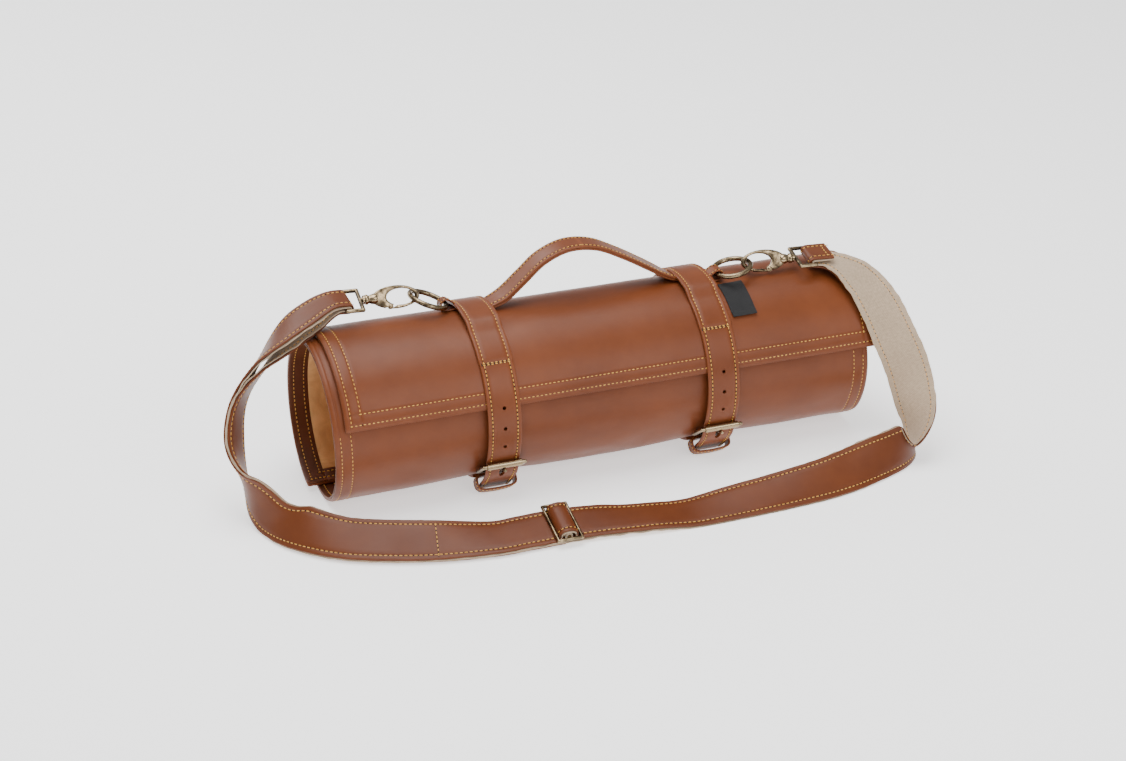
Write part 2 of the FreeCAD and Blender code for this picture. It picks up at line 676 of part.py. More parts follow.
def make_eye_fold(side, sign):
    """The strap's bend round the bar of the hook's eye, and the right end's sewn tongue."""
    place = hook_place(sign, EYE_ROLL[side])
    bar = place.multVec(Vector(EYE_BAR, 0, 0))
    axes = (ALONG_X, Vector(0, 1, 0), Vector(0, 0, 1))
    line, across, up = [place.multVec(Vector(EYE_BAR, 0, 0) + v) - bar for v in axes]
    outer = EYE_CLEAR + STRAP_CANVAS + PLY_GAP + STRAP_LEATHER
    half = across * (END_WIDTH / 2)
    bend = sleeve(bar - half, across, END_WIDTH, EYE_CLEAR, outer)
    corner = bar - line * 20.02 - half * 1.2 - up * 10
    away = Part.makeBox(20, END_WIDTH * 1.2, 20)
    columns = (line, across, up, corner)
    rows = [[getattr(c, k) for c in columns] for k in ("x", "y", "z")]
    away = away.transformed(Matrix(*rows[0], *rows[1], *rows[2], 0, 0, 0, 1))
    fold = bend.common(away)
    if sign > 0:
        tongue = Part.makeBox(TONGUE, END_WIDTH, outer - EYE_CLEAR)
        columns = (line, across, up, bar - line * 0.1 - half + up * EYE_CLEAR)
        rows = [[getattr(c, k) for c in columns] for k in ("x", "y", "z")]
        fold = fold.fuse(tongue.transformed(Matrix(*rows[0], *rows[1], *rows[2], 0, 0, 0, 1)))
    near = (f"strap_{side}_", f"return_{side}_")
    plies = [shape for name, shape in PIECES.items() if name.startswith(near)]
    keep(f"strap_{side}_fold", fold.cut(Part.makeCompound(plies)))


def make_slider(frame):
    """The slider: a wire frame with a bar across it, and the hump of strap over the bar."""
    middle, across, face, _ = frame
    ahead = face.cross(across).normalize()
    plane = middle + face * (STRAP_LEATHER / 2 + 0.4 + SLIDER_BAR)
    long, wide = SLIDER_HALF
    signs = ((-1, -1), (1, -1), (1, 1), (-1, 1))
    corners = [plane + ahead * (a * long) + across * (c * wide) for a, c in signs]
    bars = [rod(corners[i], corners[(i + 1) % 4], SLIDER_BAR) for i in range(4)]
    keep("slider_frame", bars[0].multiFuse([*bars[1:], *[ball(c, SLIDER_BAR) for c in corners]]))
    reach = across * (wide - SLIDER_BAR - 0.05)
    keep("slider_bar", rod(plane - reach, plane + reach, SLIDER_BAR))
    base = middle + face * (STRAP_LEATHER / 2 + 0.1)
    lined = HUMP_OUTER - STRAP_LEATHER
    plies = (
        ("slider_hump_leather", lined, HUMP_OUTER),
        ("slider_hump_canvas", lined - STRAP_CANVAS, lined - PLY_GAP),
        ("strap_end_wrap", SLIDER_BAR + 0.05, SLIDER_BAR + 1.9),
    )
    for name, inner, outer in plies:
        width = STRAP_WIDTH - 2
        start = (plane if name == "strap_end_wrap" else base) - across * (width / 2)
        ply = sleeve(start, across, width, inner, outer)
        under = Part.makeBox(40, width * 2, 20)
        columns = (ahead, across, face, base - ahead * 20 - across * width - face * 20)
        rows = [[getattr(c, k) for c in columns] for k in ("x", "y", "z")]
        keep(name, ply.cut(under.transformed(Matrix(*rows[0], *rows[1], *rows[2], 0, 0, 0, 1))))


make_wrap()
for side, sign in (("left", -1), ("right", 1)):
    make_belt(side, sign * BELT_X)
    make_buckle(side, sign * BELT_X)
    make_keeper(side, sign * BELT_X)
    make_ring(side, sign)
    make_hook(side, sign)
make_handle()
make_label()
make_strap()
write_all()
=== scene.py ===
"""The looks of a leather brush roll: a rolled wrap with belts, a handle and a clip-on shoulder strap.

Lengths are in millimetres until a mesh is made, and the places come from the frame. The wrap is one
spiral: an angle of 0 is the front, 90 the top, 180 the back and 270 the bottom, and it winds inwards.
"""

import json
import logging
import math
from collections.abc import Callable, Sequence
from dataclasses import dataclass, field
from enum import Enum

import bpy
from mathutils import Matrix, Vector, noise


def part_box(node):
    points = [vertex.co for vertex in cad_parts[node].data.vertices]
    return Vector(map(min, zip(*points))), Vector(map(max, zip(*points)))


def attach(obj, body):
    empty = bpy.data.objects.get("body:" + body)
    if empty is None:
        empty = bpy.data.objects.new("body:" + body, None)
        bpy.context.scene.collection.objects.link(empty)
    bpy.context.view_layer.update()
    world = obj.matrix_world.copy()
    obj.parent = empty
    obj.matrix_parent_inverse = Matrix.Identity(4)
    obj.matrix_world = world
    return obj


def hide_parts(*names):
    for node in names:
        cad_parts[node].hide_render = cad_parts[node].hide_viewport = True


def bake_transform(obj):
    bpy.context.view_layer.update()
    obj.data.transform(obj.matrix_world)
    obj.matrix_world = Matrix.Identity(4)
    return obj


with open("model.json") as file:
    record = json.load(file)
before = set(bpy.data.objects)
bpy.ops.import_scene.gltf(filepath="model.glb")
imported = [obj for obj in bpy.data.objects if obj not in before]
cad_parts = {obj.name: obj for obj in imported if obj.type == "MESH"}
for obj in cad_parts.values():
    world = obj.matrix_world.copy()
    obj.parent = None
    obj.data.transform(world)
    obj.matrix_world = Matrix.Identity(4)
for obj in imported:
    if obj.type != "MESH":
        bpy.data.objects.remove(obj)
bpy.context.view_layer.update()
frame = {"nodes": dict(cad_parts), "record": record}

log = logging.getLogger("brush_roll")
MM = 0.001
FLAT_Z = 0.15  # the lowest that any leather hangs
Pair = tuple[float, float]
Triple = tuple[float, float, float]


class Side(Enum):
    """The two ends of the roll, by the sign of X."""

    LEFT = -1
    RIGHT = 1

    @property
    def word(self) -> str:
        """The side's name, as the frame's nodes have it."""
        return self.name.lower()


# ---- measures of the roll ---------------------------------------------------------------------
def smooth_step(value: float, low: float, high: float) -> float:
    """A soft rise from 0 at low to 1 at high."""
    share = min(1.0, max(0.0, (value - low) / (high - low)))
    return share * share * (3 - 2 * share)


def spread(low: float, high: float, step: float) -> list[float]:
    """Evenly spaced values from low to high, about step apart."""
    count = max(1, math.ceil(abs(high - low) / step))
    return [low + (high - low) * i / count for i in range(count + 1)]


def wavy(x: float, y: float, z: float = 0.0) -> float:
    """Soft noise, from about -1 to 1, the same in every run."""
    return noise.noise(Vector((x, y, z)))


@dataclass(frozen=True)
class Roll:
    """The spiral of the wrap, about a line under the middle of the roll.

    Args:
        shift: where that line stands in the frame.
        length: along the roll.
        half_depth: from the middle to the front, outside.
        half_height: from the middle to the top, outside.
        centre_z: the middle line's height over the floor.
        pitch: from one turn to the next.
        flap_angle: where the spiral starts, at the flap's edge.
        inner_angle: where it ends, inside.
        floor: the height that the turns rest at.
        belt_x: from the roll's middle to each belt's.
        flap_askew: how far the flap's edge has slid along the roll.
        inner_askew: how far the inner edge has.
    """

    shift: Vector
    length: float = 414.0
    half_depth: float = 65.0
    half_height: float = 64.0
    centre_z: float = 62.5
    pitch: float = 4.6
    flap_angle: float = 14.0
    inner_angle: float = 628.0
    floor: float = 1.6
    belt_x: float = 85.0
    flap_askew: float = 3.6
    inner_askew: float = -4.4

    def surface(self, angle: float) -> Pair:
        """The outer leather face at an angle, as (y, z), before it sags."""
        inward = self.pitch * (angle - self.flap_angle) / 360
        turn = math.radians(angle)
        y = -(self.half_depth - inward) * math.cos(turn)
        z = self.centre_z + (self.half_height - inward) * math.sin(turn)
        floor = self.floor - 0.16 + self.pitch * (angle - 270) / 360
        return y, 0.5 * (z + floor + math.hypot(z - floor, 1.6))

    def outward(self, angle: float) -> Pair:
        """The direction out of the wrap at an angle, as (y, z)."""
        y0, z0 = self.surface(angle - 0.5)
        y1, z1 = self.surface(angle + 0.5)
        length = math.hypot(y1 - y0, z1 - z0)
        return -(z1 - z0) / length, (y1 - y0) / length

    def slack(self, x: float, angle: float) -> float:
        """How far the limp leather stands off the true spiral. It is 0 under the belts."""
        near_belt = min(abs(abs(x) - self.belt_x), 90.0)
        free = 1 - math.exp(-((max(near_belt - 9.0, 0.0) / 24) ** 2))
        turn = angle % 360
        low = math.exp(-(((turn - 318) / 26) ** 2))
        front = math.exp(-(((turn - 355) / 22) ** 2)) + math.exp(-(((turn + 5) / 22) ** 2))
        under = math.exp(-(((turn - 270) / 30) ** 2))
        top = math.exp(-(((turn - 75) / 34) ** 2))
        ripple = wavy(x / 46, turn / 19) * 0.7 + wavy(x / 19 + 7, turn / 11) * 0.25
        puckers = wavy(x / 9 + 3, turn / 30) * 0.35 * math.exp(-((near_belt / 26) ** 2)) * low
        height = 1.5 * low + 0.5 * front + 1.7 * under + 0.5 * top + ripple * (0.35 + 0.9 * low)
        return free * height + smooth_step(near_belt, 13, 20) * puckers

    def point(self, x: float, angle: float, height: float) -> Vector:
        """A place in metres.

        Args:
            x: along the roll.
            angle: round the spiral.
            height: above the outer leather face, which is itself slack.

        Returns:
            The point in the frame.
        """
        y, z = self.surface(angle)
        ny, nz = self.outward(angle)
        height += self.slack(x, angle)
        wound = (angle - self.flap_angle) / (self.inner_angle - self.flap_angle)
        askew = self.flap_askew + (self.inner_askew - self.flap_askew) * wound
        place = Vector((x + askew, y + height * ny, max(z + height * nz, FLAT_Z)))
        return (place + self.shift) * MM


# ---- mesh work --------------------------------------------------------------------------------
def deselect() -> None:
    """Leaves nothing selected."""
    bpy.ops.object.select_all(action="DESELECT")


def make_active(obj: bpy.types.Object) -> bpy.types.Object:
    """Selects one object alone."""
    deselect()
    obj.select_set(True)
    bpy.context.view_layer.objects.active = obj
    return obj


def grid_piece(
    name: str, columns: int, rows: int, place: Callable[[int, int], Vector], unroll: Callable[[int, int], Pair]
) -> bpy.types.Object:
    """A flat grid, bent into shape point by point.

    Args:
        name: the piece's name.
        columns: how many lines of points it has along u.
        rows: how many it has along v.
        place: gives each (column, row) its point in the frame, in metres. Its face is on the side of u x v.
        unroll: gives its place on the flat cloth, in millimetres.

    Returns:
        The object, with a UV map in metres of cloth.
    """
    deselect()
    nx, ny = columns - 1, rows - 1
    bpy.ops.mesh.primitive_grid_add(x_subdivisions=nx, y_subdivisions=ny, size=1.0, calc_uvs=True)
    obj = bpy.context.active_object
    obj.name = obj.data.name = name
    keys = [(round((v.co.x + 0.5) * nx), round((v.co.y + 0.5) * ny)) for v in obj.data.vertices]
    for vertex, (i, j) in zip(obj.data.vertices, keys):
        vertex.co = place(i, j)
    layer = obj.data.uv_layers.active.data
    flat = {key: unroll(*key) for key in set(keys)}
    for loop in obj.data.loops:
        u, v = flat[keys[loop.vertex_index]]
        layer[loop.index].uv = (u * MM, v * MM)
    return obj


def sheet_piece(
    name: str, us: Sequence[float], vs: Sequence[float], place: Callable[[float, float], Vector]
) -> bpy.types.Object:
    """A sheet with its columns at us and its rows at vs, both in millimetres of cloth."""
    return grid_piece(name, len(us), len(vs), lambda i, j: place(us[i], vs[j]), lambda i, j: (us[i], vs[j]))


def close_tube(obj: bpy.types.Object, capped: bool = True) -> bpy.types.Object:
    """Joins a sheet that was bent round into a tube along its edge, and fills its two ends."""
    make_active(obj)
    bpy.ops.object.mode_set(mode="EDIT")
    bpy.ops.mesh.select_all(action="SELECT")
    bpy.ops.mesh.remove_doubles(threshold=1e-6)
    if capped:
        bpy.ops.mesh.select_all(action="SELECT")
        bpy.ops.mesh.fill_holes(sides=0)
    bpy.ops.object.mode_set(mode="OBJECT")
    return obj


def thicken(obj: bpy.types.Object, inward: float, rounding: float = 0.0, segments: int = 2) -> bpy.types.Object:
    """Gives a sheet its thickness under its face, and rounds its edges."""
    make_active(obj)
    solid = obj.modifiers.new("thickness", "SOLIDIFY")
    solid.thickness = inward * MM
    solid.offset = -1.0
    solid.use_even_offset = False
    bpy.ops.object.modifier_apply(modifier=solid.name)
    if rounding > 0:
        bevel = obj.modifiers.new("rounding", "BEVEL")
        bevel.width = rounding * MM
        bevel.segments = segments
        bevel.limit_method = "ANGLE"
        bevel.angle_limit = math.radians(55)
        bevel.use_clamp_overlap = True
        bpy.ops.object.modifier_apply(modifier=bevel.name)
    return obj


def smooth(obj: bpy.types.Object, degrees: float = 60.0) -> bpy.types.Object:
    """Shades the piece smoothly, but for its sharp edges."""
    make_active(obj)
    bpy.ops.object.shade_smooth_by_angle(angle=math.radians(degrees))
    return obj


def settle(obj: bpy.types.Object) -> bpy.types.Object:
    """Moves the object's place into its mesh."""
    make_active(obj)
    bpy.ops.object.transform_apply(location=True, rotation=True, scale=True)
    return obj


def dip(distance: float, depth: float, width: float = 0.7) -> float:
    """A stitched groove's depth at a distance from the stitches."""
    return depth * math.exp(-((distance / width) ** 2))


# ---- stitches ---------------------------------------------------------------------------------
@dataclass
class Seam:
    """A line of stitches: a template thread and a dark disc of painted shade for its needle hole, copied along a path.

    Args:
        pitch: from one stitch to the next.
        length: of the thread that shows.
        radius: of the thread.
    """

    pitch: float = 3.3
    length: float = 2.3
    radius: float = 0.36
    threads: list[Matrix] = field(default_factory=list)
    holes: list[Matrix] = field(default_factory=list)

    def run(self, points: Sequence[Vector], normals: Sequence[Vector]) -> None:
        """Adds stitches along points in metres, with the leather's outward direction at each."""
        gone, wanted = 0.0, 0.0
        for a, b, n in zip(points, points[1:], normals):
            step = (b - a).length / MM
            if step < 1e-6:
                continue
            ahead = (b - a).normalized()
            while wanted <= gone + step:
                place = a.lerp(b, (wanted - gone) / step)
                self.add(place, ahead, n)
                wanted += self.pitch
            gone += step

    def add(self, place: Vector, ahead: Vector, normal: Vector) -> None:
        """Adds one stitch, and the painted shade of the hole behind it."""
        side = normal.cross(ahead).normalized()
        up = ahead.cross(side).normalized()
        lean = (len(self.threads) % 3 - 1) * 0.05
        turned = (ahead + side * lean).normalized()
        across = up.cross(turned).normalized()
        turn = Matrix((turned, across, up)).transposed().to_4x4()
        self.threads.append(Matrix.Translation(place + up * 0.12 * MM) @ turn)
        # each needle hole is a dark disc of painted shade, half a pitch behind its stitch
        self.holes.append(Matrix.Translation(place - ahead * self.pitch / 2 * MM + up * 0.03 * MM) @ turn)

    def copies(self, name: str, size: Triple, rings: Pair, places: Sequence[Matrix]) -> bpy.types.Object:
        """One object made of copies of a small rounded shape."""
        deselect()
        bpy.ops.mesh.primitive_uv_sphere_add(segments=int(rings[0]), ring_count=int(rings[1]), radius=1.0)
        shape = bpy.context.active_object
        shape.scale = [s * MM for s in size]
        settle(shape)
        corners = [v.co.copy() for v in shape.data.vertices]
        faces = [tuple(p.vertices) for p in shape.data.polygons]
        bpy.data.objects.remove(shape)
        count = len(corners)
        verts = [m @ c for m in places for c in corners]
        polys = [tuple(i + k * count for i in f) for k in range(len(places)) for f in faces]
        mesh = bpy.data.meshes.new(name)
        mesh.from_pydata(verts, [], polys)
        mesh.shade_smooth()
        obj = bpy.data.objects.new(name, mesh)
        bpy.context.scene.collection.objects.link(obj)
        return obj

    def pieces(self, name: str) -> list[bpy.types.Object]:
        """Makes the thread, and the dark discs of painted shade in the needle holes."""
        thread = self.copies(f"{name}_thread", (self.length / 2, self.radius, self.radius), (6, 4), self.threads)
        # the dark discs of painted shade in the needle holes
        holes = self.copies(f"{name}_needle_holes", (0.6, 0.5, 0.2), (6, 3), self.holes)
        thread.data.materials.append(THREAD.material())
        holes.data.materials.append(HOLE_SHADE.material())
        log.info("%s has %d stitches", name, len(self.threads))
        return [thread, holes]

    def finish(self, name: str, body: str, slot: str) -> None:
        """Makes the thread and the dark discs of painted shade in the needle holes, and rides them on a body."""
        for piece in self.pieces(name):
            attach(piece, body)


# ---- finishes ---------------------------------------------------------------------------------
Socket = bpy.types.NodeSocket


class Nodes:
    """A node tree that is written down from left to right."""

    def __init__(self, tree: bpy.types.NodeTree) -> None:
        """Starts from an empty tree."""
        self.tree = tree
        tree.nodes.clear()

    def add(self, kind: str, settings: dict | None = None, **inputs: object) -> bpy.types.Node:
        """Adds a node, with its settings, and its inputs by name: a value or another node's output."""
        node = self.tree.nodes.new(f"ShaderNode{kind}")
        for key, value in (settings or {}).items():
            setattr(node, key, value)
        for key, value in inputs.items():
            numbered = key[0] == "_" and key[1:].isdigit()
            socket = node.inputs[int(key[1:]) if numbered else key.replace("_", " ")]
            if isinstance(value, bpy.types.NodeSocket):
                self.tree.links.new(value, socket)
            else:
                socket.default_value = value
        return node

    def maths(self, operation: str, first: object, second: object = 0.0) -> Socket:
        """One sum."""
        return self.add("Math", {"operation": operation}, _0=first, _1=second).outputs[0]

    def weighed(self, first: Socket, weight: float, second: Socket, other: float) -> Socket:
        """The sum of two values, each times its own weight."""
        return self.maths("ADD", self.maths("MULTIPLY", first, weight), self.maths("MULTIPLY", second, other))

    def mix(self, share: object, first: object, second: object) -> Socket:
        """A blend of two colours."""
        made = self.add("Mix", {"data_type": "RGBA"}, _0=share, _6=first, _7=second)
        return made.outputs[2]

    def ramp(self, value: Socket, low: float, high: float) -> Socket:
        """A value stretched so that low gives 0 and high gives 1."""
        made = self.add("MapRange", {"clamp": True}, Value=value, From_Min=low, From_Max=high)
        return made.outputs[0]


def group(name: str, inputs: dict[str, float], outputs: Sequence[str]) -> tuple[bpy.types.NodeTree, Nodes, dict]:
    """A new shader node group with a Vector input, some numbers, and some number outputs."""
    tree = bpy.data.node_groups.new(name, "ShaderNodeTree")
    tree.interface.new_socket(name="Vector", in_out="INPUT", socket_type="NodeSocketVector")
    for key, value in inputs.items():
        made = tree.interface.new_socket(name=key, in_out="INPUT", socket_type="NodeSocketFloat")
        made.default_value = value
    for key in outputs:
        tree.interface.new_socket(name=key, in_out="OUTPUT", socket_type="NodeSocketFloat")
    nodes = Nodes(tree)
    start = tree.nodes.new("NodeGroupInput")
    end = tree.nodes.new("NodeGroupOutput")
    return tree, nodes, {"in": start.outputs, "out": end.inputs}


def leather_grain() -> bpy.types.NodeTree:
    """Fine pores and small creases of smooth leather: Height, and Tone for its cloudy colour."""
    tree, nodes, ends = group("leather_grain", {"Pores": 1500.0, "Creases": 90.0, "Clouds": 16.0}, ("Height", "Tone"))
    place = ends["in"]["Vector"]
    pores = nodes.add("TexVoronoi", {"feature": "F1"}, Vector=place, Scale=ends["in"]["Pores"])
    fine = nodes.add("TexNoise", Vector=place, Scale=ends["in"]["Creases"], Detail=6.0, Roughness=0.62)
    broad = nodes.add("TexNoise", Vector=place, Scale=ends["in"]["Clouds"], Detail=3.0, Roughness=0.55)
    rise = nodes.weighed(pores.outputs["Distance"], 0.35, fine.outputs["Fac"], 0.65)
    tone = nodes.weighed(broad.outputs["Fac"], 0.7, fine.outputs["Fac"], 0.3)
    tree.links.new(rise, ends["out"]["Height"])
    tree.links.new(tone, ends["out"]["Tone"])
    return tree


def edge_wear() -> bpy.types.NodeTree:
    """Masks of rubbed edges and of hollows, from how sharply the surface turns: Edge and Hollow."""
    tree, nodes, ends = group("edge_wear", {"Reach": 0.03}, ("Edge", "Hollow"))
    turn = nodes.add("NewGeometry").outputs["Pointiness"]
    rough = nodes.add("TexNoise", Vector=ends["in"]["Vector"], Scale=220.0, Detail=4.0)
    ragged = nodes.maths("MULTIPLY", nodes.maths("SUBTRACT", rough.outputs["Fac"], 0.5), 0.04)
    shifted = nodes.maths("ADD", turn, ragged)
    high = nodes.maths("DIVIDE", nodes.maths("SUBTRACT", shifted, 0.52), ends["in"]["Reach"])
    # Hollow marks concave places: the leather darkens them as painted shade, and the brass puts its patina there.
    low = nodes.maths("DIVIDE", nodes.maths("SUBTRACT", 0.48, shifted), ends["in"]["Reach"])
    for name, value in (("Edge", high), ("Hollow", low)):
        clamp = nodes.add("Clamp", None, Value=value)
        tree.links.new(clamp.outputs[0], ends["out"][name])
    return tree


def weave() -> bpy.types.NodeTree:
    """A plain weave on a UV map in metres: Height, and Tone from thread to thread."""
    tree, nodes, ends = group("weave", {"Threads": 1400.0}, ("Height", "Tone"))
    split = nodes.add("SeparateXYZ", None, Vector=ends["in"]["Vector"])
    waves = []
    for axis in ("X", "Y"):
        turn = nodes.maths("MULTIPLY", split.outputs[axis], nodes.maths("MULTIPLY", ends["in"]["Threads"], math.pi))
        waves.append(nodes.maths("SINE", turn))
    over = nodes.maths("MULTIPLY", waves[0], waves[1])
    height = nodes.maths("ABSOLUTE", over)
    fuzz = nodes.add("TexNoise", Vector=ends["in"]["Vector"], Scale=600.0, Detail=3.0)
    tone = nodes.maths("ADD", nodes.maths("MULTIPLY", over, 0.25), fuzz.outputs["Fac"])
    tree.links.new(height, ends["out"]["Height"])
    tree.links.new(tone, ends["out"]["Tone"])
    return tree


GROUPS: dict[str, bpy.types.NodeTree] = {}


def shared(name: str, make: Callable[[], bpy.types.NodeTree]) -> bpy.types.NodeTree:
    """A node group, made the first time it is asked for."""
    if name not in GROUPS:
        GROUPS[name] = make()
    return GROUPS[name]


@dataclass(frozen=True)
class Finish:
    """A surface finish. Subclasses say how its nodes are joined.

    Args:
        name: of the material.
        colour: the main colour, linear.
        shade: the colour of its darker clouds, and the colour that its hollows are darkened from: patina on brass,
            painted shade on leather.
        roughness: of the main surface.
    """

    name: str
    colour: Triple
    shade: Triple
    roughness: float

    def material(self) -> bpy.types.Material:
        """The material, made once."""
        found = bpy.data.materials.get(self.name)
        if found:
            return found
        made = bpy.data.materials.new(self.name)
        made.use_nodes = True
        nodes = Nodes(made.node_tree)
        shader = made.node_tree.nodes.new("ShaderNodeBsdfPrincipled")
        end = made.node_tree.nodes.new("ShaderNodeOutputMaterial")
        made.node_tree.links.new(shader.outputs[0], end.inputs["Surface"])
        self.build(nodes, shader)
        return made

    def build(self, nodes: Nodes, shader: bpy.types.Node) -> None:
        """Joins the finish's nodes to the shader."""
        raise NotImplementedError

    @staticmethod
    def relief(nodes: Nodes, shader: bpy.types.Node, height: Socket, depth: float) -> None:
        """Feeds a height in millimetres of depth to the shader's normal."""
        bump = nodes.add("Bump", None, Strength=1.0, Distance=depth * MM, Height=height)
        nodes.tree.links.new(bump.outputs[0], shader.inputs["Normal"])


def grouped(nodes: Nodes, tree: bpy.types.NodeTree, place: Socket, **values: float) -> bpy.types.Node:
    """Places a shared node group in a material."""
    node = nodes.tree.nodes.new("ShaderNodeGroup")
    node.node_tree = tree
    nodes.tree.links.new(place, node.inputs["Vector"])
    for key, value in values.items():
        node.inputs[key].default_value = value
    return node


@dataclass(frozen=True)
class LeatherFinish(Finish):
    """Smooth dyed leather: cloudy, finely grained, paler on rubbed edges, and darkened in its folds and hollows as
    painted shade.
    """

    worn: Triple = (0.23, 0.065, 0.02)
    grain: float = 0.09
    coat: float = 0.04

    def build(self, nodes: Nodes, shader: bpy.types.Node) -> None:
        """Joins grain, clouds, wear, and the painted shade of the hollows."""
        place = nodes.add("TexCoord").outputs["Object"]
        grain = grouped(nodes, shared("leather_grain", leather_grain), place)
        wear = grouped(nodes, shared("edge_wear", edge_wear), place)
        clouds = nodes.ramp(grain.outputs["Tone"], 0.36, 0.62)
        base = nodes.mix(clouds, (*self.shade, 1), (*self.colour, 1))
        rubbed = nodes.mix(nodes.maths("MULTIPLY", wear.outputs["Edge"], 0.45), base, (*self.worn, 1))
        # painted shade: folds, creases and stitched grooves are darkened towards a third of the shade colour
        dark = tuple(c * 0.35 for c in self.shade)
        final = nodes.mix(nodes.maths("MULTIPLY", wear.outputs["Hollow"], 0.55), rubbed, (*dark, 1))
        nodes.tree.links.new(final, shader.inputs["Base Color"])
        spots = nodes.add("TexNoise", Vector=place, Scale=38.0, Detail=5.0, Roughness=0.6)
        rough = nodes.maths("ADD", nodes.maths("MULTIPLY", spots.outputs["Fac"], 0.22), self.roughness - 0.11)
        nodes.tree.links.new(rough, shader.inputs["Roughness"])
        shader.inputs["Coat Weight"].default_value = self.coat
        shader.inputs["Coat Roughness"].default_value = 0.38
        shader.inputs["Specular IOR Level"].default_value = 0.24
        self.relief(nodes, shader, grain.outputs["Height"], self.grain)


@dataclass(frozen=True)
class SuedeFinish(Finish):
    """Brushed suede: a soft nap with lighter and darker strokes, and no shine."""

    def build(self, nodes: Nodes, shader: bpy.types.Node) -> None:
        """Joins the nap."""
        place = nodes.add("TexCoord").outputs["Object"]
        strokes = nodes.add("TexNoise", Vector=place, Scale=42.0, Detail=5.0, Roughness=0.7, Distortion=0.6)
        nap = nodes.add("TexNoise", Vector=place, Scale=1700.0, Detail=2.0)
        share = nodes.ramp(strokes.outputs["Fac"], 0.32, 0.66)
        colour = nodes.mix(share, (*self.shade, 1), (*self.colour, 1))
        nodes.tree.links.new(colour, shader.inputs["Base Color"])
        rough = nodes.maths("ADD", nodes.maths("MULTIPLY", nap.outputs["Fac"], 0.1), self.roughness - 0.05)
        nodes.tree.links.new(rough, shader.inputs["Roughness"])
        shader.inputs["Sheen Weight"].default_value = 0.15
        shader.inputs["Sheen Roughness"].default_value = 0.5
        height = nodes.maths("ADD", nodes.maths("MULTIPLY", nap.outputs["Fac"], 0.3), strokes.outputs["Fac"])
        self.relief(nodes, shader, height, 0.35)


@dataclass(frozen=True)
class WovenFinish(Finish):
    """Plain woven cloth on the piece's own UV map."""

    threads: float = 1400.0
    depth: float = 0.16
    sheen: float = 0.2

    def build(self, nodes: Nodes, shader: bpy.types.Node) -> None:
        """Joins the weave and the cloth's blotches."""
        place = nodes.add("UVMap").outputs["UV"]
        cloth = grouped(nodes, shared("weave", weave), place, Threads=self.threads)
        blotch = nodes.add("TexNoise", Vector=nodes.add("TexCoord").outputs["Object"], Scale=24.0, Detail=4.0)
        share = nodes.weighed(cloth.outputs["Tone"], 0.6, blotch.outputs["Fac"], 0.5)
        colour = nodes.mix(nodes.ramp(share, 0.3, 0.8), (*self.shade, 1), (*self.colour, 1))
        nodes.tree.links.new(colour, shader.inputs["Base Color"])
        rough = nodes.maths("ADD", nodes.maths("MULTIPLY", blotch.outputs["Fac"], 0.1), self.roughness - 0.05)
        nodes.tree.links.new(rough, shader.inputs["Roughness"])
        shader.inputs["Sheen Weight"].default_value = self.sheen
        self.relief(nodes, shader, cloth.outputs["Height"], self.depth)


@dataclass(frozen=True)
class BrassFinish(Finish):
    """Antique brass: dark patina in its hollows, polished through where it is rubbed."""

    def build(self, nodes: Nodes, shader: bpy.types.Node) -> None:
        """Joins patina, polish and fine scratches."""
        place = nodes.add("TexCoord").outputs["Object"]
        wear = grouped(nodes, shared("edge_wear", edge_wear), place, Reach=0.06)
        blotch = nodes.add("TexNoise", Vector=place, Scale=150.0, Detail=6.0, Roughness=0.65)
        polish = nodes.maths("ADD", nodes.ramp(blotch.outputs["Fac"], 0.38, 0.6), wear.outputs["Edge"])
        clear = nodes.maths("SUBTRACT", polish, nodes.maths("MULTIPLY", wear.outputs["Hollow"], 0.8))
        share = nodes.add("Clamp", None, Value=clear).outputs[0]
        colour = nodes.mix(share, (*self.shade, 1), (*self.colour, 1))
        nodes.tree.links.new(colour, shader.inputs["Base Color"])
        rough = nodes.maths("SUBTRACT", self.roughness + 0.14, nodes.maths("MULTIPLY", share, 0.16))
        nodes.tree.links.new(rough, shader.inputs["Roughness"])
        shader.inputs["Metallic"].default_value = 1.0
        fine = nodes.add("TexNoise", Vector=place, Scale=900.0, Detail=3.0)
        self.relief(nodes, shader, fine.outputs["Fac"], 0.02)


@dataclass(frozen=True)
class ThreadFinish(Finish):
    """Waxed thread, or the painted shade inside a needle hole: a slight twist and change of tone."""

    def build(self, nodes: Nodes, shader: bpy.types.Node) -> None:
        """Joins the twist."""
        place = nodes.add("TexCoord").outputs["Object"]
        twist = nodes.add("TexNoise", Vector=place, Scale=1300.0, Detail=2.0)
        broad = nodes.add("TexNoise", Vector=place, Scale=60.0, Detail=2.0)
        share = nodes.weighed(twist.outputs["Fac"], 0.6, broad.outputs["Fac"], 0.4)
        colour = nodes.mix(nodes.ramp(share, 0.35, 0.65), (*self.shade, 1), (*self.colour, 1))
        nodes.tree.links.new(colour, shader.inputs["Base Color"])
        rough = nodes.maths("ADD", nodes.maths("MULTIPLY", broad.outputs["Fac"], 0.1), self.roughness)
        nodes.tree.links.new(rough, shader.inputs["Roughness"])
        self.relief(nodes, shader, twist.outputs["Fac"], 0.08)


LEATHER = LeatherFinish("cognac_leather", (0.17, 0.044, 0.0125), (0.135, 0.034, 0.0095), 0.4)
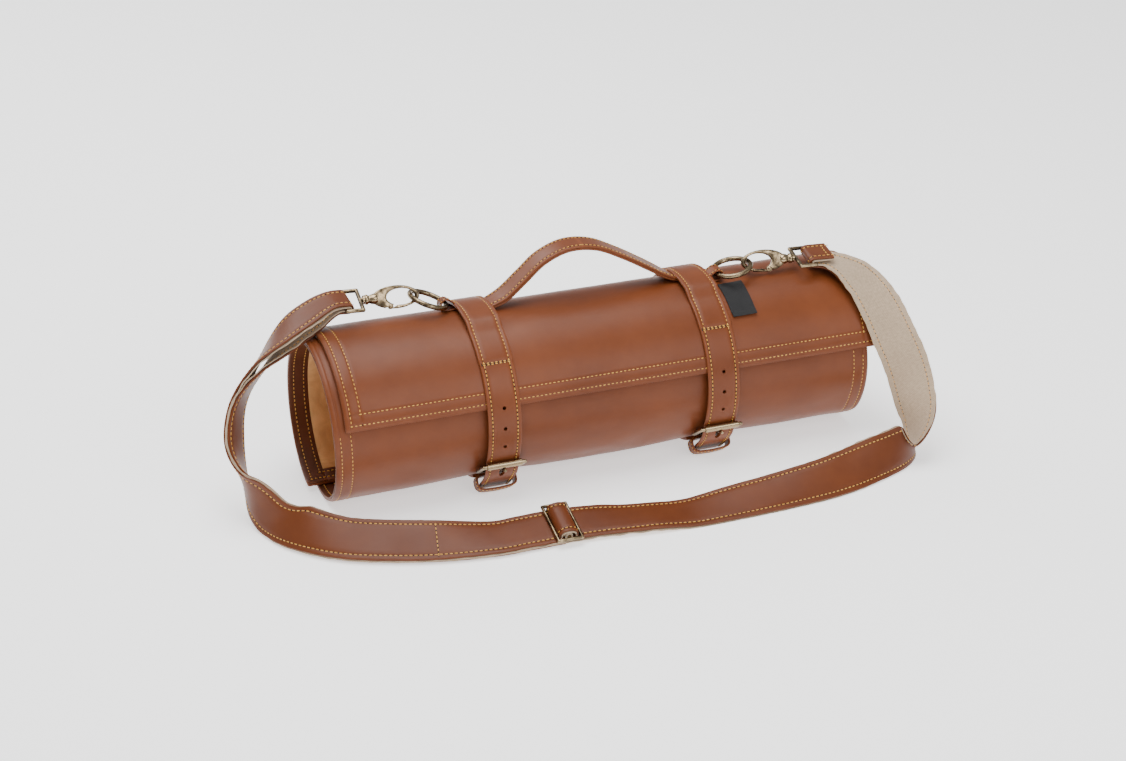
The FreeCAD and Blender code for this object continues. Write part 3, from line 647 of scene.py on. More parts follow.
# Border leather: a darker leather, darkened further as painted shade for the shade that falls on the inner border.
SHADED_FACING = LeatherFinish("border_leather", (0.11, 0.031, 0.011), (0.07, 0.02, 0.008), 0.46)
STRAP_LEATHER = LeatherFinish(
    "saddle_leather", (0.135, 0.035, 0.0098), (0.105, 0.026, 0.0075), 0.4, worn=(0.15, 0.041, 0.012), coat=0.03
)
SUEDE = SuedeFinish("camel_suede", (0.8, 0.42, 0.17), (0.55, 0.27, 0.095), 0.95)
CANVAS = WovenFinish("linen_canvas", (0.56, 0.42, 0.29), (0.36, 0.26, 0.17), 0.9)
LABEL = WovenFinish(
    "woven_label", (0.007, 0.007, 0.008), (0.003, 0.003, 0.0035), 0.75, threads=2600.0, depth=0.08, sheen=0.0
)
BRASS = BrassFinish("aged_brass", (0.36, 0.27, 0.16), (0.05, 0.036, 0.022), 0.24)
THREAD = ThreadFinish("ochre_thread", (0.85, 0.46, 0.09), (0.6, 0.29, 0.05), 0.5)
# painted shade: the dark discs stand for the shade inside the needle holes
HOLE_SHADE = ThreadFinish("needle_hole", (0.02, 0.009, 0.005), (0.012, 0.006, 0.004), 0.8)


# ---- strips: straps, belts and loops of leather and cloth -------------------------------------
@dataclass
class Station:
    """One place along a strip: its middle, its width direction and the way its face looks, in mm."""

    middle: Vector
    across: Vector
    face: Vector


Outline = list[Pair]


def outline(half: float, low: float, high: float, rounding: float, groove: float = 0.0, depth: float = 0.3) -> Outline:
    """The closed section of a strip, from its right edge over its face to the left, and back beneath.

    Args:
        half: half the strip's width.
        low: its under side's height.
        high: its face's height.
        rounding: of its edges.
        groove: the stitched row's distance from each edge, or 0 for none.
        depth: of the stitched groove.

    Returns:
        Points as (across, height). Their number depends only on whether there is a groove.
    """
    arc = [math.radians(a) for a in (0, 30, 60, 90)]
    right = [(half - rounding + rounding * math.cos(a), high - rounding + rounding * math.sin(a)) for a in arc]
    over: Outline = []
    if groove:
        marks = ((groove - 0.8, 0.0), (groove - 0.35, 0.7), (groove, 1.0), (groove + 0.35, 0.7), (groove + 0.9, 0.0))
        over = [(half - d, high - depth * share) for d, share in marks]
    inner = half - groove - 0.9 if groove else half - rounding
    middle = [(inner * (1 - 2 * i / 7), high) for i in range(1, 7)]
    top = right + over + middle + [(-s, h) for s, h in reversed(right + over)]
    under = [(-s, high + low - h) for s, h in right[:3]]
    rim = [(s, h) for s, h in under[1:]] + [(-half + rounding, low)]
    flat = [(half * (2 * i / 5 - 1), low) for i in range(1, 5)]
    return top + rim + flat + [(-s, h) for s, h in reversed(rim)]


@dataclass
class Strip:
    """A long flat piece that follows stations.

    Args:
        name: of the piece.
        stations: along it.
        section: gives the outline at a station.
        shift: where the stations' origin stands in the frame.
        warp: may move each point: it gets the station's number, the offsets and the point.
    """

    name: str
    stations: list[Station]
    section: Callable[[int], Outline]
    shift: Vector
    warp: Callable[[int, float, float, Vector], Vector] | None = None

    def point(self, i: int, across: float, height: float) -> Vector:
        """A point of the strip in the frame, in metres."""
        spot = self.stations[i]
        place = spot.middle + spot.across * across + spot.face * height
        if self.warp:
            place = self.warp(i, across, height, place)
        place.z = max(place.z, FLAT_Z)
        return (place + self.shift) * MM

    def build(self, capped: bool = True) -> bpy.types.Object:
        """Makes the mesh, closed at its ends unless it is a loop."""
        rings = [self.section(i) for i in range(len(self.stations))]
        count = len(rings[0])
        along = [0.0]
        for a, b in zip(self.stations, self.stations[1:]):
            along.append(along[-1] + (b.middle - a.middle).length)
        girth = [0.0]
        for (s0, h0), (s1, h1) in zip(rings[0], [*rings[0][1:], rings[0][0]]):
            girth.append(girth[-1] + math.hypot(s1 - s0, h1 - h0))
        spots = [[self.point(i, *offsets) for offsets in ring] for i, ring in enumerate(rings)]
        made = grid_piece(
            self.name,
            len(rings),
            count + 1,
            lambda i, j: spots[i][j % count],
            lambda i, j: (along[i], girth[j]),
        )
        return smooth(close_tube(made, capped), 50)

    def row(self, seam: "Seam", across: Callable[[int], float], height: float, first: int = 0, last: int = -1) -> None:
        """Adds a row of stitches along the strip, at an offset across it. A negative height is beneath."""
        chosen = list(range(len(self.stations)))[first : last if last != -1 else None]
        points = [self.point(i, across(i), height) for i in chosen]
        sign = 1 if height >= 0 else -1
        normals = []
        for i in chosen:
            lifted = self.point(i, across(i), height + 0.5) - self.point(i, across(i), height)
            lifted = lifted if lifted.length > 1e-7 else self.stations[i].face
            normals.append(lifted.normalized() * sign)
        seam.run(points, normals)


def stations_along(points: Sequence[Vector], faces: Sequence[Vector]) -> list[Station]:
    """Stations on a line of points, with the strip facing as nearly as it can along faces."""
    made = []
    last = len(points) - 1
    for i, face in enumerate(faces):
        ahead = (points[min(i + 1, last)] - points[max(i - 1, 0)]).normalized()
        across = ahead.cross(face).normalized()
        made.append(Station(points[i].copy(), across, across.cross(ahead).normalized()))
    return made


def through(points: Sequence[Sequence[float]], steps: int) -> list[list[float]]:
    """Samples of a smooth line through all the points, each a row of numbers."""
    table = [points[0], *points, points[-1]]
    made = []
    for i in range(1, len(table) - 2):
        p, q, r, s = table[i - 1 : i + 3]
        for k in range(steps):
            t = k / steps
            row = []
            for a, b, c, d in zip(p, q, r, s):
                bend = (2 * a - 5 * b + 4 * c - d) * t * t + (3 * b - a - 3 * c + d) * t**3
                row.append(0.5 * (2 * b + (c - a) * t + bend))
            made.append(row)
    made.append(list(points[-1]))
    return made


def body_of(node: str) -> str:
    """The body that a node of the frame belongs to."""
    for body, members in frame["record"]["behaviour"]["bodies"].items():
        if node in members:
            return body
    raise KeyError(node)


def stand_for(piece: bpy.types.Object, finish: Finish, slot: str, *nodes: str, body: str = "") -> bpy.types.Object:
    """Dresses a piece, puts it in the place of nodes, and rides it on their body."""
    piece.data.materials.clear()
    piece.data.materials.append(finish.material())
    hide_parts(*nodes)
    if body != "none":
        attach(piece, body or body_of(nodes[0]))
    log.info("%s stands for %s, with %d faces", piece.name, ", ".join(nodes), len(piece.data.polygons))
    return piece


# ---- the wrap ---------------------------------------------------------------------------------
@dataclass
class Wrap:
    """The rolled panel: leather outside, suede inside in a leather border, and its stitching.

    Args:
        roll: the spiral it follows.
        leather: thickness of the outer leather.
        lining: thickness of the lining and its border.
        border: width of the border.
        rows: distances of the two stitched rows from the edge.
    """

    roll: Roll
    leather: float = 2.0
    lining: float = 1.3
    gap: float = 0.05
    border: float = 15.0
    rows: Pair = (4.2, 11.8)
    pockets: tuple[float, ...] = (-168, -140, -112, -86, -60, -36, -12, 10, 32, 52, 72, 92, 110, 128)

    def askew(self, angle: float) -> float:
        """How far the spiral's turns have slid along the roll."""
        start, end = self.roll.flap_angle, self.roll.inner_angle
        return 3.0 - 6.0 * (angle - start) / (end - start)

    def place(self, x: float, angle: float, height: float) -> Vector:
        """A point on the wrap, with its slide along the roll, in metres."""
        return self.roll.point(x + self.askew(angle), angle, height)

    def degrees(self, length: float) -> float:
        """An arc's angle, near the outer edge."""
        return length / 1.105

    def relief(self, x: float, angle: float) -> float:
        """The outer face's grooves at the stitched rows, and the padding between them."""
        half = self.roll.length / 2
        edges = [half - abs(x), (angle - self.roll.flap_angle) * 1.105]
        height = 0.0
        for distance in edges:
            inside = min(edges) >= min(self.rows) - 1.5
            for row in self.rows:
                height -= dip(distance - row, 0.42, 0.75) if inside else 0.0
        nearest = min(edges)
        swell = smooth_step(nearest, 0.0, 2.5) * (1 - smooth_step(nearest, 12, 17))
        return height + 0.35 * swell - 0.5 * (1 - smooth_step(nearest, 0.0, 1.6))

    def columns(self, half: float, step: float) -> list[float]:
        """Places along the roll, close together at both ends."""
        near = [0.0, 0.5, 1.2, 2.4, 3.4, 3.8, 4.2, 4.6, 5.0, 6.2, 8.0, 10.0, 11.0, 11.4, 11.8, 12.2, 12.7, 14.5, 17.0]
        middle = spread(-half + 17 + step, half - 17 - step, step)
        return [-half + n for n in near] + middle + [half - n for n in reversed(near)]

    def turns(self, start: float, end: float, step: float) -> list[float]:
        """Angles along the spiral, close together by the flap's edge."""
        near = [0.0, 0.5, 1.2, 2.4, 3.4, 3.8, 4.2, 4.6, 5.0, 6.2, 8.0, 10.0, 11.0, 11.4, 11.8, 12.2, 12.7, 14.5, 17.0]
        return [start + self.degrees(n) for n in near] + spread(start + 17, end, step)

    def panel(self) -> bpy.types.Object:
        """The outer leather."""
        half = self.roll.length / 2
        us = self.columns(half, 4.0)
        vs = self.turns(self.roll.flap_angle, self.roll.inner_angle, 3.2)
        made = sheet_piece("wrap_leather", us, vs, lambda x, a: self.place(x, a, self.relief(x, a)))
        return smooth(thicken(made, self.leather, 0.75, 3), 60)

    def inner(self, name: str, x0: float, x1: float, a0: float, a1: float, wave: float = 0.0) -> bpy.types.Object:
        """A piece of the inner layer between two places along the roll and two angles."""
        top = -self.leather - self.gap
        us, vs = spread(x0, x1, 2.5 if x1 - x0 < 30 else 6.0), spread(a0, a1, 2.4 if a1 - a0 < 30 else 3.6)

        def spot(x: float, a: float) -> Vector:
            """The outer face of the inner layer."""
            return self.place(x, a, top - wave * (0.5 + 0.5 * wavy(x / 28 + 5, a / 24)))

        return smooth(thicken(sheet_piece(name, us, vs, spot), self.lining, 0.4, 2), 60)

    def linings(self) -> None:
        """The border and the suede."""
        half, first = self.roll.length / 2, self.roll.flap_angle
        last, turn = self.roll.inner_angle, 13.4
        inset = half - self.border - self.gap
        left = self.inner("left_border", -half, -half + self.border, first, last)
        right = self.inner("right_border", half - self.border, half, first, last)
        stand_for(left, SHADED_FACING, "facing_leather", "left_end_facing")
        stand_for(right, SHADED_FACING, "facing_leather", "right_end_facing")
        flap = self.inner("flap_border", -inset, inset, first, first + turn)
        edge = self.inner("inner_edge_border", -inset, inset, last - turn - 1, last)
        stand_for(flap, SHADED_FACING, "facing_leather", "flap_facing")
        stand_for(edge, SHADED_FACING, "facing_leather", "inner_edge_facing")
        suede = self.inner("suede", -inset, inset, first + turn + 0.1, last - turn - 1.1, 0.4)
        stand_for(suede, SUEDE, "suede", "suede_lining")

    def pocket_row(self) -> None:
        """The row of brush pockets: one strip of suede, sewn down between them."""
        base = -self.leather - self.lining - 2 * self.gap - 0.4
        edges = self.pockets
        us = [x0 + (x1 - x0) * k / 6 for x0, x1 in zip(edges, edges[1:]) for k in range(6)] + [edges[-1]]
        vs = spread(430, 560, 3.2)

        def spot(x: float, a: float) -> Vector:
            """The back of the pockets, which stand off the lining between their seams."""
            k = max(i for i, e in enumerate(edges[:-1]) if e <= x)
            share = (x - edges[k]) / (edges[k + 1] - edges[k])
            belly = math.sin(math.pi * share) ** 0.7 * (0.5 + 1.1 * smooth_step(a, 430, 475))
            return self.place(x, a, base - belly)

        made = smooth(thicken(sheet_piece("pockets", us, vs, spot), 0.9, 0.3, 2), 60)
        stand_for(made, SUEDE, "suede", "brush_pockets")

    def stitches(self) -> None:
        """Two rows all round the flap, and two along every edge of the border."""
        half, first, last = self.roll.length / 2, self.roll.flap_angle, self.roll.inner_angle
        deep = -self.leather - self.gap - self.lining
        seam = Seam(pitch=3.2, length=2.25, radius=0.44)
        for row in self.rows:
            edge, turn = half - row, first + self.degrees(row)
            ends = spread(turn, turn + 352, 1.5)
            self.line(seam, [(-edge, a) for a in reversed(ends)], 0.0)
            self.line(seam, [(x, turn) for x in spread(-edge, edge, 2.0)], 0.0)
            self.line(seam, [(edge, a) for a in ends], 0.0)
            inner_turn = last - self.degrees(row)
            for sign in (-1, 1):
                self.line(seam, [(sign * edge, a) for a in spread(262, inner_turn, 2.0)], deep, -1)
            self.line(seam, [(x, inner_turn) for x in spread(-edge, edge, 3.0)], deep, -1)
        seam.finish("wrap_seams", "root", "leather")

    def line(self, seam: Seam, path: Sequence[Pair], height: float, sign: int = 1) -> None:
        """Adds stitches on the wrap along (x, angle) pairs."""
        points = []
        normals = []
        for x, angle in path:
            sunk = -0.3 if sign > 0 else 0.0
            points.append(self.place(x, angle, height + sunk))
            ny, nz = self.roll.outward(angle)
            normals.append(Vector((0, ny, nz)) * sign)
        seam.run(points, normals)

    def build(self) -> None:
        """Makes the whole wrap."""
        stand_for(self.panel(), LEATHER, "leather", "outer_panel")
        self.linings()
        self.pocket_row()
        self.stitches()


# ---- belts ------------------------------------------------------------------------------------
@dataclass
class Belt:
    """One belt with its chape and keeper. The buckle's metal is the frame's own.

    Args:
        roll: the spiral it goes round.
        side: which of the two it is.
        width: of the belt.
        thickness: of the belt.
        tip: the angle of its free end.
        end: the angle where it is sewn down.
        holes: the angles of the round holes.
        prong_slot: the angle of the slot that the prong stands in.
        seam_angle: the angle of the cross seam above the free end.
        heel: the angle of the buckle's heel bar.
        chape: thickness of the buckle's own strap.
        bar: radius of the heel bar.
    """

    roll: Roll
    side: Side
    width: float = 25.0
    thickness: float = 2.2
    gap: float = 0.15
    tip: float = -58.0
    end: float = 298.0
    holes: Triple = (14.0, 0.5, -12.5)
    hole_radius: float = 1.45
    prong_slot: float = -32.5
    seam_angle: float = 43.0
    heel: float = -39.0
    chape: float = 1.5
    bar: float = 1.5

    @property
    def x(self) -> float:
        """The belt's middle along the roll."""
        return self.side.value * self.roll.belt_x

    def height(self, angle: float) -> float:
        """How far the belt's inner face stands off the spiral."""
        bump = 3.0 * (1 - smooth_step(abs(angle - 94.0), 18, 30))
        over_bar = 2.9 * smooth_step(-angle, 24, 37) + 3.0 * smooth_step(-angle, 48, 66)
        return self.gap + bump + over_bar

    def spot(self, angle: float, height: float) -> tuple[Vector, Vector]:
        """A point over the spiral under the belt's middle, and the way out there, in mm."""
        y, z = self.roll.surface(angle)
        ny, nz = self.roll.outward(angle)
        return Vector((self.x, y + height * ny, z + height * nz)), Vector((0, ny, nz))

    def strap(self) -> Strip:
        """The belt itself."""
        turns = spread(self.tip, self.end, 1.6)
        spots = [self.spot(a, self.height(a)) for a in turns]
        stations = stations_along([s[0] for s in spots], [s[1] for s in spots])

        def section(i: int) -> Outline:
            """The belt's outline, pinched a little at its cross seam and rounded at its tip."""
            angle = turns[i]
            pinch = 0.35 * math.exp(-(((angle - self.seam_angle) / 1.3) ** 2))
            above = 0.35 * smooth_step(angle, self.seam_angle, self.seam_angle + 1.5)
            near_tip = 1 - (1 - smooth_step(angle, self.tip, self.tip + 3.0)) * 0.06
            half = (self.width / 2 + above) * near_tip
            return outline(half, 0.0, self.thickness - pinch + above, 0.95, 3.2, 0.34)

        return Strip(f"{self.side.word}_belt_leather", stations, section, self.roll.shift)

    def punch(self, belt: bpy.types.Object) -> None:
        """Cuts the round holes, and the slot that the prong stands in."""
        for angle in self.holes:
            self.cut(belt, angle, self.height(angle) + 1, (self.hole_radius, self.hole_radius), 7.0)
        self.cut(belt, self.prong_slot, self.height(self.prong_slot) + 1, (2.4, 7.4), 7.0)

    def cut(self, piece: bpy.types.Object, angle: float, height: float, halves: Pair, depth: float) -> None:
        """Cuts an oval hole through a piece.

        Args:
            piece: what is cut.
            angle: where the hole is, round the spiral.
            height: of the hole's middle over the spiral.
            halves: half its width along the roll, and half its length along the belt.
            depth: how far the cut reaches, in all.
        """
        place, out = self.spot(angle, height)
        along = Vector((1, 0, 0))
        down = out.cross(along)
        turn = Matrix((along * halves[0], down * halves[1], out)).transposed().to_4x4()
        deselect()
        bpy.ops.mesh.primitive_cylinder_add(vertices=24, radius=1.0, depth=depth)
        tool = bpy.context.active_object
        tool.data.transform(Matrix.Translation((place + self.roll.shift) * MM) @ Matrix.Scale(MM, 4) @ turn)
        make_active(piece)
        hole = piece.modifiers.new("hole", "BOOLEAN")
        hole.operation = "DIFFERENCE"
        hole.solver = "EXACT"
        hole.object = tool
        bpy.ops.object.modifier_apply(modifier=hole.name)
        bpy.data.objects.remove(tool)

    def chape_strip(self) -> Strip:
        """The buckle's own strap: from beneath the belt, round the heel bar and back."""
        turn = self.heel + 360
        low = self.gap + self.chape / 2
        high = self.gap + self.chape * 1.5 + 2 * self.bar + 0.2
        heel, out = self.spot(turn, self.gap + self.chape + self.bar + 0.1)
        ahead = Vector((1, 0, 0)).cross(out)
        radius = self.bar + 0.1 + self.chape / 2
        points = [self.spot(a, high) for a in spread(self.end + 6, turn - 0.5, 2.0)]
        for degrees in range(90, -91, -15):
            t = math.radians(degrees)
            way = out * math.sin(t) + ahead * math.cos(t)
            points.append((heel + way * radius, way))
        points += [(p, -n) for p, n in (self.spot(a, low) for a in reversed(spread(self.end + 0.7, turn - 0.5, 2.0)))]
        stations = stations_along([p[0] for p in points], [p[1] for p in points])
        half, thick = self.width / 2 - 0.5, self.chape / 2

        def section(_: int) -> Outline:
            """The same outline all along."""
            return outline(half, -thick, thick, 0.5, 2.6, 0.2)

        return Strip(f"{self.side.word}_chape_leather", stations, section, self.roll.shift)

    def keeper_strip(self) -> Strip:
        """The loop that holds the belt's tip down: slack, and bowed away from it."""
        angle = -52.0
        base, out = self.spot(angle, 0.0)
        low = -self.roll.pitch + self.gap + self.chape + 1.7 - 0.7
        high = self.height(angle) + self.thickness + 2.4 + 0.7
        middle, reach = (low + high) / 2, (high - low) / 2
        wide = self.width / 2 + 0.8 + 0.7
        points, faces = [], []
        for k in range(49):
            t = 2 * math.pi * k / 48
            c, s = math.cos(t), math.sin(t)
            sx = math.copysign(abs(c) ** 0.42, c)
            sh = math.copysign(abs(s) ** 0.62, s)
            bow = 1.1 * max(0.0, s) ** 2 * (1 - 0.5 * abs(sx)) + 0.25 * math.sin(3 * t + 0.6)
            points.append(base + Vector((sx * (wide + 0.7), 0, 0)) + out * (middle + sh * reach + bow))
            faces.append(Vector((c, 0, 0)) + out * s)
        made = stations_along(points, faces)
        first = (points[1] - points[-2]).normalized()
        across = first.cross(faces[0]).normalized()
        made[0] = made[-1] = Station(points[0].copy(), across, across.cross(first).normalized())

        def section(i: int) -> Outline:
            """A soft edge, and a width that changes a little."""
            half = 4.9 + 0.25 * math.sin(2 * math.pi * (i % 48) / 24)
            return outline(half, -0.7, 0.75, 0.5, 1.6, 0.2)

        return Strip(f"{self.side.word}_keeper_leather", made, section, self.roll.shift)

    def seams(self, belt: Strip, keeper: Strip) -> None:
        """Rows along both edges, a cross seam above the free end, and the keeper's rows."""
        seam = Seam(pitch=3.1, length=2.15, radius=0.42)
        edge = self.width / 2 - 3.1
        for sign in (-1, 1):
            belt.row(seam, lambda _: sign * edge, self.thickness - 0.18, 1)
        number = min(range(len(belt.stations)), key=lambda i: abs(spread(self.tip, self.end, 1.6)[i] - self.seam_angle))
        spot = belt.stations[number]
        for shift in (-0.5, 0.7):
            path = [belt.point(number, s, self.thickness - 0.1) for s in spread(-edge, edge, 1.0)]
            ahead = spot.face.cross(spot.across) * shift * MM
            seam.run([p + ahead for p in path], [spot.face] * len(path))
        seam.finish(f"{self.side.word}_belt_seams", "root", "leather")
        small = Seam(pitch=2.8, length=1.9, radius=0.3)
        for sign in (-1, 1):
            keeper.row(small, lambda _: sign * 3.3, 0.62, 0, 48)
        small.finish(f"{self.side.word}_keeper_seams", body_of(f"{self.side.word}_keeper"), "leather")

    def build(self) -> None:
        """Makes the belt, its chape and its keeper."""
        word = self.side.word
        belt, chape, keeper = self.strap(), self.chape_strip(), self.keeper_strip()
        leather = belt.build()
        self.punch(leather)
        stand_for(leather, LEATHER, "leather", f"{word}_belt")
        back = chape.build()
        self.cut(back, self.heel + 360, 1.0, (2.2, 4.5), 16.0)
        stand_for(back, LEATHER, "leather", f"{word}_buckle_chape")
        stand_for(keeper.build(capped=False), LEATHER, "leather", f"{word}_keeper")
        self.seams(belt, keeper)


# ---- handle -----------------------------------------------------------------------------------
@dataclass
class Handle:
    """The top handle: two sewn layers in an arch, with flat feet under the belts.

    Args:
        roll: the spiral it stands on.
        width: of the handle.
        layer: thickness of one layer.
        y: its middle, front to back.
        line: its middle line, as (x, z).
    """

    roll: Roll
    width: float = 20.0
    layer: float = 1.7
    y: float = 7.0
    line: tuple[Pair, ...] = (
        (-84.5, 126.75),
        (-78.0, 126.9),
        (-71.0, 128.5),
        (-60.0, 133.2),
        (-46.0, 145.0),
        (-31.0, 157.5),
        (-12.0, 164.5),
        (9.0, 162.5),
        (30.0, 152.5),
        (51.0, 140.0),
        (62.0, 133.0),
        (71.0, 128.5),
        (78.0, 126.9),
        (84.5, 126.75),
    )

    def half(self, side: Side) -> tuple[list[Station], Callable[[int, float, float, Vector], Vector]]:
        """The stations of one half, and how its foot follows the roll."""
        rows = through(self.line, 10)
        middle = min(range(len(rows)), key=lambda i: abs(rows[i][0] + 1.0))
        every = [Vector((x, self.y, z)) for x, z in rows]
        up = Vector((0, 0, 1))
        stations = stations_along(every, [up] * len(every))
        chosen = stations[: middle + 1] if side is Side.LEFT else stations[middle:]
        angle0 = 90 + math.degrees(self.y / self.roll.half_height)
        crown = self.roll.surface(angle0)[1]

        def warp(i: int, across: float, height: float, place: Vector) -> Vector:
            """Bends the foot to the roll's round top."""
            spot = chosen[i]
            share = smooth_step(abs(spot.middle.x), 58, 74)
            if share <= 0:
                return place
            angle = angle0 + math.degrees((place.y - self.y) / self.roll.half_height)
            ny, nz = self.roll.outward(angle)
            y, z = self.roll.surface(angle)
            rise = place.z - crown
            return place.lerp(Vector((place.x, y + rise * ny, z + rise * nz)), share)

        return chosen, warp

    def build(self) -> None:
        """Makes the halves of both layers, which meet at the top of the arch."""
        for side in Side:
            stations, warp = self.half(side)
            reach = side.value
            start = (Vector((reach * 80.0, self.y, 128)) + self.roll.shift) * MM
            end = (Vector((reach * 56.0, self.y, 128)) + self.roll.shift) * MM
            seam = Seam(pitch=3.2, length=2.2, radius=0.4)
            nodes = {1: "handle_top_layer", -1: "handle_under_layer"}
            for sign, node in nodes.items():
                strip = self.layer_strip(side, stations, warp, sign)
                piece = strip.build()
                extra = [f"handle_{side.word}_end"] if sign > 0 else []
                stand_for(piece, LEATHER, "leather", node, *extra, body="none")
                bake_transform(piece)
                for edge in (-1, 1):
                    level = sign * (self.layer + 0.02) - sign * 0.15
                    strip.row(seam, lambda _: edge * (self.width / 2 - 2.7), level)
            for piece in seam.pieces(f"handle_{side.word}_seams"):
                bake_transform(piece)

    def layer_strip(self, side: Side, stations: list[Station], warp: Callable, sign: int) -> Strip:
        """One layer of one half: above the middle line for sign 1, beneath it for -1."""

        def section(i: int) -> Outline:
            """Its outline, thinner in the foot under the belt."""
            thin = 1 - 0.2 * smooth_step(abs(stations[i].middle.x), 64, 76)
            made = outline(self.width / 2, 0.03, self.layer * thin, 0.6, 2.7, 0.28)
            return made if sign > 0 else [(-s, -h) for s, h in made]

        place = "upper" if sign > 0 else "under"
        return Strip(f"handle_{side.word}_{place}", stations, section, self.roll.shift, warp)


# ---- rings' tabs, hooks -----------------------------------------------------------------------
@dataclass
class Hardware:
    """Where the rings, hooks and their eyes are, as the frame's own parts have them.

    Args:
        roll: the spiral they stand over.
    """

    roll: Roll
    ring: float = 14.0
    wire: float = 1.9
    loop_x: float = 102.2
    tab: float = 1.1
    bore: float = 3.5
    left_axis: Vector = field(default_factory=lambda: Vector((-174.0, 19.0, 140.0)))
    right_axis: Vector = field(default_factory=lambda: Vector((174.0, -10.0, 134.4)))

    def axis_point(self, x: float) -> Vector:
        """A point on the line that both hooks turn about."""
        return self.left_axis.lerp(self.right_axis, (x - self.left_axis.x) / (self.right_axis.x - self.left_axis.x))

    def ring_ends(self, sign: int) -> tuple[Vector, Vector]:
        """The middle of the ring's wire in its tab, and on the far side."""
        y = self.axis_point(sign * (self.loop_x + self.ring)).y
        inward = self.roll.pitch * (90 - self.roll.flap_angle) / 360
        share = y / (self.roll.half_depth - inward)
        top = self.roll.centre_z + (self.roll.half_height - inward) * math.sqrt(1 - share**2)
        near = Vector((sign * self.loop_x, y, top + 0.25 + self.tab + self.bore))
        line = (self.right_axis - self.left_axis).normalized() * sign
        start = self.axis_point(sign * self.loop_x)
        back = start - near
        along = back.dot(line)
        reach = -along + math.sqrt(along**2 - back.dot(back) + 4 * self.ring**2)
        return near, start + line * reach

    def hook_frame(self, sign: int, degrees: float) -> tuple[Vector, Vector, Vector, Vector]:
        """A hook's nose, and its own X, Y and Z directions, when it leans back by some degrees."""
        line = (self.right_axis - self.left_axis).normalized() * sign
        nose = self.ring_ends(sign)[1] - line * (3.4 + self.wire + 1.2)
        lean = math.radians(degrees)
        up = Vector((0, math.sin(lean), math.cos(lean)))
        across = up.cross(line).normalized()
        return nose, line, across, line.cross(across).normalized()


@dataclass
class RingTab:
    """The leather loop that ties a ring under the belt's edge."""

    hardware: Hardware
    side: Side

    def build(self) -> None:
        """Makes the loop and its stitches."""
        hw, sign = self.hardware, self.side.value
        near, _ = hw.ring_ends(sign)
        r = hw.bore + hw.tab / 2
        low = -r
        path: list[Pair] = [(-15.7, low), (-10.0, low), (-5.0, low), (0.4, low)]
        path += [(0.55 + r * math.cos(math.radians(a)), r * math.sin(math.radians(a))) for a in range(-60, 121, 30)]
        path += [(-4.6, 1.2), (-7.2, -1.3), (-10.2, -2.75), (-15.7, -2.8)]
        rows = through(path, 5)
        slope = math.atan(-near.y / hw.roll.half_depth)
        turn = Matrix.Rotation(slope, 3, "X")
        points = [near + turn @ Vector((sign * a, 0, h)) for a, h in rows]
        centre = near + turn @ Vector((sign * 0.55, 0, 0))
        faces = []
        for (a, h), p in zip(rows, points):
            out = Vector((0, 0, -1)) if a < 0.3 and h < -3.6 else Vector((0, 0, 1)) if a < -4 else None
            faces.append(turn @ out if out else (p - centre).normalized())
        stations = stations_along(points, faces)

        def section(i: int) -> Outline:
            """Its outline, a little wider where it goes under the belt."""
            half = 5.2 + 0.5 * smooth_step(-rows[i][0], 2, 10)
            return outline(half, -hw.tab / 2, hw.tab / 2, 0.4, 1.5, 0.16)

        strip = Strip(f"{self.side.word}_tab_leather", stations, section, hw.roll.shift)
        stand_for(strip.build(), LEATHER, "leather", f"{self.side.word}_ring_tab")
        seam = Seam(pitch=2.8, length=1.9, radius=0.28)
        for edge in (-1, 1):
            strip.row(seam, lambda _: edge * 3.8, hw.tab / 2 - 0.06, 14)
        seam.finish(f"{self.side.word}_tab_seams", body_of(f"{self.side.word}_ring_tab"), "leather")


